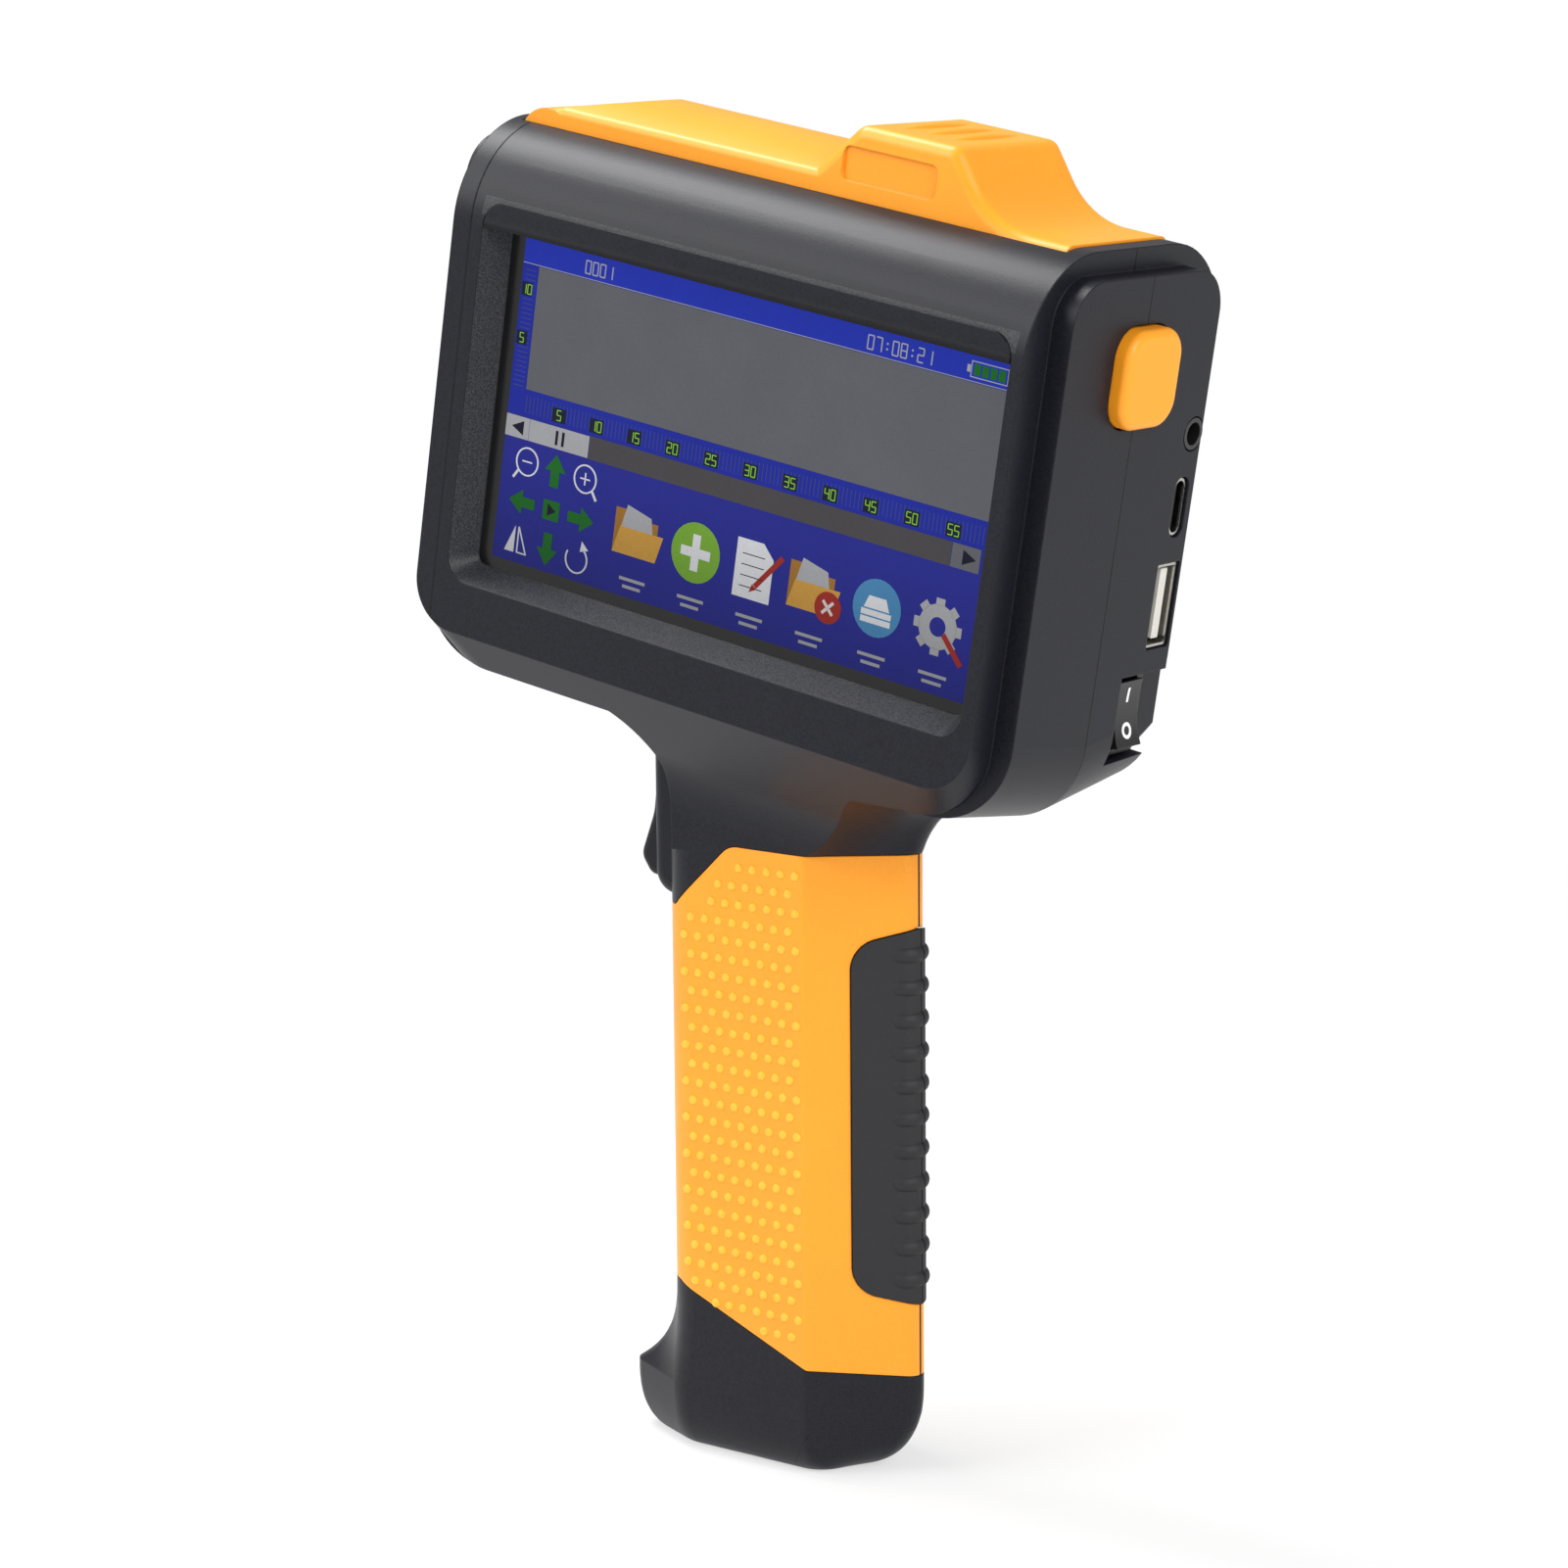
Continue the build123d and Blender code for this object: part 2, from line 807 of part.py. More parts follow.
# Fittings on the inside of both casing halves, trimmed to the outer form
rail_inner = lid_half - lid_ledge + lid_gap
rail_outer = rail_inner + 3 * lid_rail
window_ring = head_box(
    -lens_length / 2 - wall / 2, lens_length / 2 + wall / 2, -face_inner - wall / 2, -lens_front,
    -lens_height / 2 - wall / 2, lens_height / 2 + wall / 2,
)
notch_block = head_box(
    notch_floor - wall, middle_rear, notch_left - wall, belly_half, notch_bottom - wall, notch_top + wall,
)
with BuildPart() as side_fittings:
    add(head_box(
        hinge_x + 2 * hinge_boss, lid_rear, rail_inner, rail_outer, lid_seat - lid_gap - lid_rail,
        lid_seat - lid_gap,
    ))
    add(head_box(
        nose_seam, hinge_x + hinge_boss, lid_half + lid_gap, hinge_pin_reach + hinge_pin,
        hinge_z - hinge_boss, head_top,
    ))
    for y, z in nose_screws:
        rib_ends = sorted((z, 2 * z))
        add(end_rod(y, z, nose_seam, nose_seam + nose_boss_length, boss_left))
        add(head_box(nose_seam, nose_seam + nose_boss_length, y - wall / 2, y + wall / 2, *rib_ends))
    mirror(about=Plane.XZ)

with BuildPart() as fittings:
    add([window_ring, notch_block, side_fittings.part])
    add(outer.part, mode=Mode.INTERSECT)

# Casing before it is parted
with BuildPart() as pocket:
    add(panel_region(skin_gap))
    add(grip_form(skin, 0, neck_top), mode=Mode.SUBTRACT)

with BuildPart() as stud_holes:
    with BuildSketch(cap_plane):
        with Locations((-cap_stud_y, 0), (cap_stud_y, 0)):
            Circle(cap_stud + pin_gap)
    extrude(amount=cap_stud_length)

lid_opening = head_box(
    -far, lid_rear + lid_gap, -lid_half - lid_gap, lid_half + lid_gap, lid_seat - lid_gap, far,
)
hinge_hole = head_rod(hinge_x, hinge_z, -hinge_pin_reach, hinge_pin_reach, hinge_pin + pivot_gap)
knuckle_room = head_rod(hinge_x, hinge_z, -lid_half - lid_gap, lid_half + lid_gap, hinge_round + lid_gap)
button_hole = end_block(
    0, button_z, button_width + 2 * button_gap, button_height + 2 * button_gap, rear_inner - wall, far,
    button_corner + button_gap,
)
jack_hole = end_rod(jack_y, jack_z, head_rear - 2 * wall, far, jack_barrel + socket_gap)
usb_c_hole = end_block(
    usb_c_y, usb_c_z, usb_c_thick + 2 * socket_gap, usb_c_width + 2 * socket_gap, head_rear - 2 * wall, far,
    usb_c_thick / 2,
)
usb_a_hole = end_block(
    usb_a_y, usb_a_z, usb_a_thick + 2 * socket_gap, usb_a_width + 2 * socket_gap, head_rear - 2 * wall, far,
    shell_metal,
)
notch = head_box(notch_floor, far, notch_left, far, notch_bottom, notch_top)
power_hole = end_block(
    power_y, power_z, body_width + 2 * socket_gap, body_height + 2 * socket_gap, notch_floor - 2 * wall,
    notch_floor + wall, bezel_corner,
)
trigger_slot = part_box(
    grip_front - far, grip_front + 2 * (skin + core_wall), -trigger_half - trigger_gap,
    trigger_half + trigger_gap, slot_bottom, slot_top,
)
trigger_hole = grip_rod(
    trigger_pivot_x, trigger_pivot_z, -trigger_pin_reach, trigger_pin_reach, trigger_pin + pin_gap,
)
with BuildPart() as shell:
    add(outer.part)
    add(hollow.part, mode=Mode.SUBTRACT)
    add(fittings.part)
    add(
        [
            head_box(-far, nose_seam, -far, far, -far, far), pocket.part, cap_region.part, stud_holes.part,
            lid_opening, knuckle_room, hinge_hole, button_hole, jack_hole, usb_c_hole, usb_a_hole, notch, power_hole,
            trigger_slot, trigger_hole,
        ],
        mode=Mode.SUBTRACT,
    )

# Left casing: it carries the window, the screen stack, the trigger switch and the screw pilots
ear_places = [(x, z) for x in (-ear_x, ear_x) for z in (-ear_z, ear_z)]
peg_root = skin + core_wall / 2 - grip_half
trigger_seat = part_box(
    trigger_seat_x, trigger_seat_x + trigger_seat_thick, -head_half, trigger_spring,
    trigger_spring_z - trigger_spring, trigger_spring_z + trigger_spring,
)
with BuildPart() as left_posts:
    add([head_rod(x, z, -head_half, 0, boss_left) for x, z in head_screws])
    add([grip_rod(x, z, -head_half, 0, boss_left) for x, z in grip_screws])
    add([head_rod(x, z, -head_half, -frame_front, small_boss) for x, z in ear_places])
    add([grip_rod(switch_x + switch_deep / 2, z, peg_root, switch_half, switch_peg) for z in switch_pegs])
    add(trigger_seat)
    add(outer.part, mode=Mode.INTERSECT)

with BuildPart() as window:
    with BuildSketch(head_side.offset(head_half)):
        RectangleRounded(
            window_length + 2 * window_bevel, window_height + 2 * window_bevel, window_corner + window_bevel,
        )
    with BuildSketch(head_side.offset(lens_front)):
        RectangleRounded(window_length, window_height, window_corner)
    loft(ruled=True)

ear_pilot_end = -frame_front - small_length + frame_thick
left_holes = [head_rod(x, z, -screw_grip, 0, screw_pilot) for x, z in head_screws]
left_holes += [grip_rod(x, z, -screw_grip, 0, screw_pilot) for x, z in grip_screws]
left_holes += [head_rod(x, z, ear_pilot_end, -frame_front, small_pilot) for x, z in ear_places]
left_holes += [end_rod(-y, z, nose_seam, nose_seam + nose_boss_length, screw_pilot) for y, z in nose_screws]
with BuildPart() as left_casing:
    add(shell.part)
    split(bisect_by=Plane.XZ, keep=Keep.TOP)
    add(left_posts.part)
    add([window.part] + left_holes, mode=Mode.SUBTRACT)
finish(left_casing, "left_casing")

# Right casing: it carries the cradle, the port board and the spring rib, and takes the casing screws
spring_rib = head_box(
    spring_seat - hook_thick, spring_seat, -spring_radius, head_half, spring_z - spring_radius,
    spring_z + spring_radius,
)
with BuildPart() as right_posts:
    add([head_rod(x, z, 0, head_half, boss_right) for x, z in head_screws])
    add([grip_rod(x, z, 0, head_half, boss_right) for x, z in grip_screws])
    add([head_rod(x, cradle_lug_z, cradle_half, head_half, small_boss) for x in cradle_lug_x])
    add([head_rod(port_post_x, z, port_board_face, head_half, small_boss) for z in port_post_z])
    add(spring_rib)
    add(outer.part, mode=Mode.INTERSECT)

head_bore = screw_head + screw_head_gap
lug_end = cradle_half + small_length
post_end = port_board_face + small_length
right_holes = [head_rod(x, z, 0, screw_seat, screw_clear) for x, z in head_screws]
right_holes += [grip_rod(x, z, 0, screw_seat, screw_clear) for x, z in grip_screws]
right_holes += [head_rod(x, z, screw_seat, far, head_bore) for x, z in head_screws]
right_holes += [grip_rod(x, z, screw_seat, far, head_bore) for x, z in grip_screws]
right_holes += [head_rod(x, cradle_lug_z, cradle_half, lug_end, small_pilot) for x in cradle_lug_x]
right_holes += [head_rod(port_post_x, z, port_board_face, post_end, small_pilot) for z in port_post_z]
right_holes += [end_rod(y, z, nose_seam, nose_seam + nose_boss_length, screw_pilot) for y, z in nose_screws]
with BuildPart() as right_casing:
    add(shell.part)
    split(bisect_by=Plane.XZ, keep=Keep.BOTTOM)
    add(right_posts.part)
    add(right_holes, mode=Mode.SUBTRACT)
finish(right_casing, "right_casing")

with BuildPart() as casing_screws:
    for x, z in head_screws:
        add(screw(
            head_side.offset(-screw_seat), x, z, -1, screw_seat + screw_grip, screw_shank, screw_head,
            screw_head_height,
        ))
    for x, z in grip_screws:
        add(screw(
            Plane.XZ.offset(-screw_seat), x, z, -1, screw_seat + screw_grip, screw_shank, screw_head,
            screw_head_height,
        ))
finish(casing_screws, "casing_screws")

# Nose frame with the print window and the two guide rollers
slot_half = roller_radius + roller_gap
nose_places = [(side * y, z) for side in (-1, 1) for y, z in nose_screws]
nose_seat = middle_front + nose_plate / 2
with BuildPart() as nose_filling:
    add(head_box(middle_front, nose_inner, -belly_half, belly_half, belly_bottom, end_top))
    add([end_rod(y, z, middle_front, nose_seam, boss_left) for y, z in nose_places])
    add(outer.part, mode=Mode.INTERSECT)

nose_holes = [end_rod(y, z, middle_front, nose_seam, screw_clear) for y, z in nose_places]
nose_holes += [end_rod(y, z, -far, nose_seat, head_bore) for y, z in nose_places]
nose_holes.append(knuckle_room)
nose_holes.append(head_box(
    -far, nose_seam, -snout_half - roller_gap, snout_half + roller_gap, snout_bottom - roller_gap,
    snout_top + roller_gap,
))
for y in (-roller_y, roller_y):
    nose_holes.append(head_box(
        -far, nose_seam, y - slot_half, y + slot_half, roller_bottom - roller_gap, roller_top + roller_gap,
    ))
    nose_holes.append(head_post(
        roller_x, y, roller_bottom - axle_reach, roller_top + axle_reach, axle_radius + pin_gap,
    ))
with BuildPart() as nose_frame:
    add(outer.part)
    add(hollow.part, mode=Mode.SUBTRACT)
    add(nose_filling.part)
    add(head_box(-far, nose_seam, -far, far, -far, far), mode=Mode.INTERSECT)
    add(nose_holes, mode=Mode.SUBTRACT)
finish(nose_frame, "nose_frame")

with BuildPart() as nose_screw_set:
    for y, z in nose_places:
        add(screw(
            head_end.offset(nose_seat), y, z, -1, nose_seam + nose_boss_length - nose_seat, screw_shank,
            screw_head, screw_head_height,
        ))
finish(nose_screw_set, "nose_screws")

for side, name in ((-1, "left"), (1, "right")):
    with BuildPart() as roller:
        add(head_post(roller_x, side * roller_y, roller_bottom, roller_top, roller_radius))
        chamfer(roller.edges().filter_by(GeomType.CIRCLE), roller_gap)
        add(
            head_post(roller_x, side * roller_y, roller_bottom, roller_top, axle_radius + pivot_gap),
            mode=Mode.SUBTRACT,
        )
    finish(roller, f"{name}_guide_roller")
    with BuildPart() as axle:
        add(head_post(
            roller_x, side * roller_y, roller_bottom - axle_reach, roller_top + axle_reach, axle_radius,
        ))
    finish(axle, f"{name}_roller_axle")

# Cartridge lid: a crowned low part, a hump for the thumb, a round knuckle and a catch
def upper_edges(block, level):
    """Edges of the two side faces of a lid part that lie above a level."""
    flanks = block.faces().sort_by(Axis.Y)
    edges = flanks[0].edges() + flanks[-1].edges()
    return [edge for edge in edges if (edge.center() - Vector(screen_centre)).dot(head_up) > level]


knuckle_top = hinge_z + hinge_round
lid_inner = lid_half - lid_wall
with BuildPart() as low_part:
    with BuildSketch(head_side.offset(-lid_half)):
        with BuildLine():
            Polyline(
                (hinge_x, lid_seat), (hinge_x, knuckle_top), (lid_level_x, lid_low + lid_wall),
                (hump_rear, lid_low + lid_wall), (hump_rear, lid_seat), close=True,
            )
        make_face()
    extrude(amount=2 * lid_half)
    with BuildSketch(head_end.offset(-far)):
        with BuildLine():
            ThreePointArc((-lid_half, lid_shoulder), (0, lid_low), (lid_half, lid_shoulder))
            Polyline(
                (lid_half, lid_shoulder), (lid_half, 0), (-lid_half, 0), (-lid_half, lid_shoulder),
            )
        make_face()
    extrude(amount=2 * far, mode=Mode.INTERSECT)
    fillet(upper_edges(low_part, lid_shoulder - lid_wall), low_edge)

ramp_foot = lid_shoulder - hump_sink
with BuildPart() as hump:
    with BuildSketch(head_side.offset(-lid_half)):
        with BuildLine():
            FilletPolyline(
                (hump_front - 2 * hump_ramp, lid_seat), (hump_front - 2 * hump_ramp, ramp_foot),
                (hump_front - hump_ramp, ramp_foot), (hump_front, hump_top), (hump_rear, hump_top),
                (hump_rear + hump_slope, lid_tail), (lid_rear, lid_tail), (lid_rear, lid_seat),
                radius=[0, 0, ramp_hollow, hump_front_round, hump_rear_round, slope_hollow, 0, 0],
                close=True,
            )
        make_face()
    extrude(amount=2 * lid_half)
    fillet(upper_edges(hump, (lid_tail + lid_seat + lid_wall) / 2), lid_edge)

catch_root = head_box(
    catch_x, catch_x + catch_thick, -catch_half, catch_half, lid_seat, lid_seat + lid_wall,
)
with BuildPart() as cartridge_lid:
    add(low_part.part)
    add(hump.part)
    add(head_rod(hinge_x, hinge_z, -lid_half, lid_half, hinge_round))
    thumb_ribs = [
        lens(
            head_cross.offset(hump_top + thumb_rib - thumb_rib_width / 2), 0,
            -(hump_front + hump_rear) / 2 - (count - (thumb_rib_count - 1) / 2) * thumb_rib_pitch,
            thumb_rib_half, thumb_rib_width / 2,
        )
        for count in range(thumb_rib_count)
    ]
    add(thumb_ribs)
    for side in (-1, 1):
        with BuildSketch(head_side.offset(side * (lid_half - hump_panel_depth))):
            with Locations((hump_panel_x, hump_panel_z)):
                RectangleRounded(hump_panel_length, hump_panel_height, 2 * hump_panel_depth)
        extrude(amount=side * far, mode=Mode.SUBTRACT)
    add(
        [
            head_box(
                lid_level_x, hump_rear + lid_wall, -lid_inner, lid_inner, lid_seat - lid_gap,
                lid_shoulder - lid_wall,
            ),
            head_box(
                hump_front, hump_rear - lid_wall, -lid_inner, lid_inner, lid_seat, hump_top - 2 * lid_wall,
            ),
            catch_root,
            head_rod(hinge_x, hinge_z, -lid_half, lid_half, hinge_pin + pin_gap),
        ],
        mode=Mode.SUBTRACT,
    )
finish(cartridge_lid, "cartridge_lid")

with BuildPart() as lid_catch:
    add(catch_root)
    add(head_box(catch_x, catch_x + catch_thick, -catch_half, catch_half, catch_bottom, lid_seat))
    add(head_box(
        catch_x - catch_lip, catch_x, -catch_half, catch_half, catch_bottom, catch_bottom + catch_lip,
    ))
finish(lid_catch, "lid_catch")

with BuildPart() as lid_hinge_pin:
    add(head_rod(hinge_x, hinge_z, -hinge_pin_reach, hinge_pin_reach, hinge_pin))
finish(lid_hinge_pin, "lid_hinge_pin")

# Release button with its hook, and its spring
with BuildPart() as release_button:
    add(end_block(
        0, button_z, button_width, button_height, flange_back, middle_rear + button_proud, button_corner,
    ))
    fillet(release_button.faces().sort_by(Axis.X)[-1].edges(), button_edge)
    add(end_block(
        0, button_z, button_width + 2 * button_flange_lip, button_height + 2 * button_flange_lip,
        flange_back, flange_face, button_corner,
    ))
    add(head_box(
        hook_tip - 2 * hook_thick, flange_face, -catch_half, catch_half, arm_top - hook_thick, arm_top,
    ))
    add(head_box(
        hook_tip - 2 * hook_thick, hook_tip - hook_thick, -catch_half, catch_half, arm_top - hook_thick,
        catch_bottom + catch_lip + hook_gap + hook_thick,
    ))
    add(head_box(
        hook_tip - 2 * hook_thick, hook_tip, -catch_half, catch_half,
        catch_bottom + catch_lip + hook_gap, catch_bottom + catch_lip + hook_gap + hook_thick,
    ))
finish(release_button, "release_button")

with BuildPart() as button_spring:
    add(end_rod(0, spring_z, spring_seat, flange_back, spring_radius))
    add(end_rod(0, spring_z, spring_seat, flange_back, spring_radius - spring_wire), mode=Mode.SUBTRACT)
finish(button_spring, "button_spring")

# Trigger, its pin, its spring and its switch
with BuildPart() as trigger:
    with BuildSketch(Plane.XZ.offset(-trigger_half)):
        with BuildLine():
            FilletPolyline(
                (trigger_pivot_x - trigger_hub, trigger_pivot_z + trigger_hub),
                (trigger_brow_x, trigger_brow_z), (trigger_waist_x, trigger_waist_z),
                (trigger_tip_x, trigger_tip_z), (trigger_chin_x, trigger_bottom),
                (trigger_back, trigger_bottom), (trigger_back, trigger_pivot_z + trigger_hub),
                radius=trigger_rounds, close=True,
            )
        make_face()
    extrude(amount=2 * trigger_half)
    flanks = trigger.faces().sort_by(Axis.Y)
    front_edges = (flanks[0].edges() + flanks[-1].edges()).filter_by(
        lambda edge: edge.center().X < trigger_pivot_x - trigger_hub
    )
    fillet(front_edges, trigger_edge)
    add(
        grip_rod(trigger_pivot_x, trigger_pivot_z, -trigger_half, trigger_half, trigger_pin + pivot_gap),
        mode=Mode.SUBTRACT,
    )
finish(trigger, "trigger")

with BuildPart() as trigger_pivot:
    add(grip_rod(trigger_pivot_x, trigger_pivot_z, -trigger_pin_reach, trigger_pin_reach, trigger_pin))
finish(trigger_pivot, "trigger_pin")

with BuildPart() as trigger_return:
    with BuildSketch(Plane.YZ.offset(trigger_back)):
        with Locations((0, trigger_spring_z)):
            Circle(trigger_spring)
            Circle(trigger_spring - spring_wire, mode=Mode.SUBTRACT)
    extrude(amount=trigger_seat_x - trigger_back)
finish(trigger_return, "trigger_spring")

with BuildPart() as trigger_switch:
    add(part_box(
        switch_x, switch_x + switch_deep, -switch_half, switch_half, switch_bottom,
        switch_bottom + switch_height,
    ))
    add(part_box(
        switch_x - switch_plunger, switch_x, -switch_half / 2, switch_half / 2,
        switch_bottom + switch_height / 3, switch_bottom + switch_height * 2 / 3,
    ))
    for z in switch_pegs:
        add(
            grip_rod(switch_x + switch_deep / 2, z, -switch_half, switch_half, switch_peg + pin_gap),
            mode=Mode.SUBTRACT,
        )
finish(trigger_switch, "trigger_switch")

# Screen stack behind the window
with BuildPart() as touch_glass:
    add(head_box(
        -lens_length / 2, lens_length / 2, -lens_front, -panel_front, -lens_height / 2, lens_height / 2,
    ))
finish(touch_glass, "touch_glass")

lcd_half_length = lens_length / 2 - lcd_margin
lcd_half_height = lens_height / 2 - lcd_margin
with BuildPart() as lcd_panel:
    add(head_box(
        -lcd_half_length, lcd_half_length, -panel_front, -frame_front, -lcd_half_height, lcd_half_height,
    ))
finish(lcd_panel, "lcd_panel")

frame_back = frame_front - frame_thick
with BuildPart() as lcd_frame:
    with BuildSketch(head_side.offset(frame_back)):
        Rectangle(2 * frame_reach, 2 * frame_rise)
        with GridLocations(2 * ear_x, 2 * ear_z, 2, 2):
            RectangleRounded(ear_size, ear_size, ear_size / 4)
        Rectangle(frame_window_length - ear_size, frame_window_height, mode=Mode.SUBTRACT)
    extrude(amount=frame_thick)
    with BuildSketch(head_side.offset(board_front)):
        with GridLocations(2 * board_screw_x, 2 * board_screw_z, 2, 2):
            Circle(small_boss)
    extrude(amount=standoff_height)
    with BuildSketch(head_side.offset(board_front)):
        with GridLocations(2 * board_screw_x, 2 * board_screw_z, 2, 2):
            Circle(small_pilot)
    extrude(amount=standoff_height + frame_thick, mode=Mode.SUBTRACT)
    with BuildSketch(head_side.offset(frame_back)):
        with GridLocations(2 * ear_x, 2 * ear_z, 2, 2):
            Circle(small_pilot)
    extrude(amount=frame_thick, mode=Mode.SUBTRACT)
finish(lcd_frame, "lcd_frame")

with BuildPart() as frame_screws:
    for x in (-ear_x, ear_x):
        for z in (-ear_z, ear_z):
            add(screw(
                head_side.offset(frame_back), x, z, -1, small_length, small_shank, small_head,
                small_head_height,
            ))
finish(frame_screws, "frame_screws")

with BuildPart() as main_board:
    add(head_box(
        -board_length / 2, board_length / 2, -board_front, -board_back, -board_height / 2, board_height / 2,
    ))
    with BuildSketch(head_side.offset(board_back)):
        with GridLocations(2 * board_screw_x, 2 * board_screw_z, 2, 2):
            Circle(small_pilot)
    extrude(amount=board_thick, mode=Mode.SUBTRACT)
finish(main_board, "main_board")

with BuildPart() as board_screws:
    for x in (-board_screw_x, board_screw_x):
        for z in (-board_screw_z, board_screw_z):
            add(screw(
                head_side.offset(board_back), x, z, -1, board_thick + standoff_height + frame_thick,
                small_shank, small_head, small_head_height,
            ))
finish(board_screws, "board_screws")

# Ink cartridge in its cradle
with BuildPart() as cartridge_cradle:
    add(head_box(cradle_front, cradle_rear, -cradle_half, cradle_half, cradle_floor, cradle_top))
    add(
        head_box(
            -far, cradle_rear - cradle_wall, -cradle_inner, cradle_inner, cradle_floor + cradle_wall, far,
        ),
        mode=Mode.SUBTRACT,
    )
    for x in cradle_lug_x:
        add(head_box(
            x - 3 * small_pilot, x + 3 * small_pilot, cradle_half - 2 * cradle_wall, cradle_half,
            cradle_lug_z - 3 * small_pilot, cradle_floor + cradle_wall,
        ))
        add(
            head_rod(x, cradle_lug_z, cradle_half - 2 * cradle_wall, cradle_half, small_pilot),
            mode=Mode.SUBTRACT,
        )
finish(cartridge_cradle, "cartridge_cradle")

with BuildPart() as cradle_screws:
    for x in cradle_lug_x:
        add(screw(
            head_side.offset(2 * cradle_wall - cradle_half), x, cradle_lug_z, 1,
            2 * cradle_wall + small_length, small_shank, small_head, small_head_height,
        ))
finish(cradle_screws, "cradle_screws")

cartridge_half = cradle_inner - cartridge_gap
with BuildPart() as ink_cartridge:
    add(head_box(
        cartridge_front, contact_face, -cartridge_half, cartridge_half, cradle_floor + cradle_wall,
        cartridge_top,
    ))
    add(head_box(snout_front, cartridge_front, -snout_half, snout_half, snout_bottom, snout_top))
finish(ink_cartridge, "ink_cartridge")

with BuildPart() as nozzle_plate:
    add(head_box(
        snout_front - nozzle_thick, snout_front, -snout_half + wall, snout_half - wall,
        snout_bottom + wall, snout_top - wall,
    ))
finish(nozzle_plate, "nozzle_plate")

with BuildPart() as contact_board:
    add(head_box(
        contact_face, contact_face + contact_thick, -cartridge_half + wall, cartridge_half - wall,
        -cartridge_half, cartridge_half,
    ))
finish(contact_board, "contact_board")

# Rear sockets on their board
with BuildPart() as port_board:
    add(head_box(
        port_board_front, port_board_rear, port_board_back, port_board_face, port_board_bottom,
        port_board_top,
    ))
    for z in port_post_z:
        add(head_rod(port_post_x, z, port_board_back, port_board_face, small_pilot), mode=Mode.SUBTRACT)
finish(port_board, "port_board")

with BuildPart() as port_screws:
    for z in port_post_z:
        add(screw(
            head_side.offset(-port_board_back), port_post_x, z, 1, port_board_thick + small_length,
            small_shank, small_head, small_head_height,
        ))
finish(port_screws, "port_screws")

socket_back = port_post_x + small_boss + wall
socket_step = head_rear - wall - socket_gap
with BuildPart() as aux_jack:
    add(head_box(
        socket_back, socket_step, port_board_face, jack_y + jack_barrel + shell_metal,
        jack_z - jack_barrel - 2 * shell_metal, jack_z + jack_barrel + 2 * shell_metal,
    ))
    add(end_rod(jack_y, jack_z, socket_step, middle_rear, jack_barrel))
    add(end_rod(jack_y, jack_z, socket_back + wall, middle_rear, jack_bore), mode=Mode.SUBTRACT)
finish(aux_jack, "aux_jack")

with BuildPart() as usb_c_socket:
    add(end_block(
        usb_c_y, usb_c_z, usb_c_thick, usb_c_width, socket_back + wall, middle_rear - shell_metal,
        usb_c_thick / 2 - pin_gap,
    ))
    add(
        end_block(
            usb_c_y, usb_c_z, usb_c_thick - 2 * shell_metal, usb_c_width - 2 * shell_metal,
            socket_back + 2 * wall, middle_rear, usb_c_thick / 2 - shell_metal - pin_gap,
        ),
        mode=Mode.SUBTRACT,
    )
    add(head_box(
        socket_back + wall, socket_step, port_board_face, usb_c_y - usb_c_thick / 2 + shell_metal,
        usb_c_z - usb_c_width / 3, usb_c_z + usb_c_width / 3,
    ))
finish(usb_c_socket, "usb_c_socket")

with BuildPart() as usb_c_tongue:
    add(end_block(
        usb_c_y, usb_c_z, 2 * shell_metal, usb_c_width - 5 * shell_metal, socket_back + 2 * wall,
        middle_rear - 3 * shell_metal, shell_metal / 2,
    ))
finish(usb_c_tongue, "usb_c_tongue")

with BuildPart() as usb_a_socket:
    add(end_block(
        usb_a_y, usb_a_z, usb_a_thick, usb_a_width, socket_back, middle_rear - shell_metal, shell_metal,
    ))
    add(
        end_block(
            usb_a_y, usb_a_z, usb_a_thick - 2 * shell_metal, usb_a_width - 2 * shell_metal,
            socket_back + wall, middle_rear, shell_metal / 2,
        ),
        mode=Mode.SUBTRACT,
    )
finish(usb_a_socket, "usb_a_socket")

with BuildPart() as usb_a_tongue:
    add(end_block(
        usb_a_y + usb_a_thick / 8, usb_a_z, usb_a_thick / 3, usb_a_width - 5 * shell_metal,
        socket_back + wall, middle_rear - 3 * shell_metal, shell_metal / 2,
    ))
finish(usb_a_tongue, "usb_a_tongue")

# Rocker switch in its notch, at rest with its upper end pressed in
rocker_axle = rocker_width / 2 + (body_width - rocker_width) / 3
with BuildPart() as power_switch:
    add(end_block(
        power_y, power_z, bezel_width, bezel_height, notch_floor, notch_floor + bezel_thick, bezel_corner,
    ))
    add(end_block(
        power_y, power_z, body_width, body_height, notch_floor - body_depth, notch_floor, bezel_corner,
    ))
    add(
        end_block(
            power_y, power_z, rocker_width + 2 * rocker_gap, 2 * (rocker_half + 2 * rocker_gap),
            rocker_pivot - rocker_hub - wall / 2, far, rocker_gap,
        ),
        mode=Mode.SUBTRACT,
    )
    add(
        head_rod(rocker_pivot, power_z, power_y - rocker_axle, power_y + rocker_axle, rocker_pin + pivot_gap),
        mode=Mode.SUBTRACT,
    )
finish(power_switch, "power_switch")

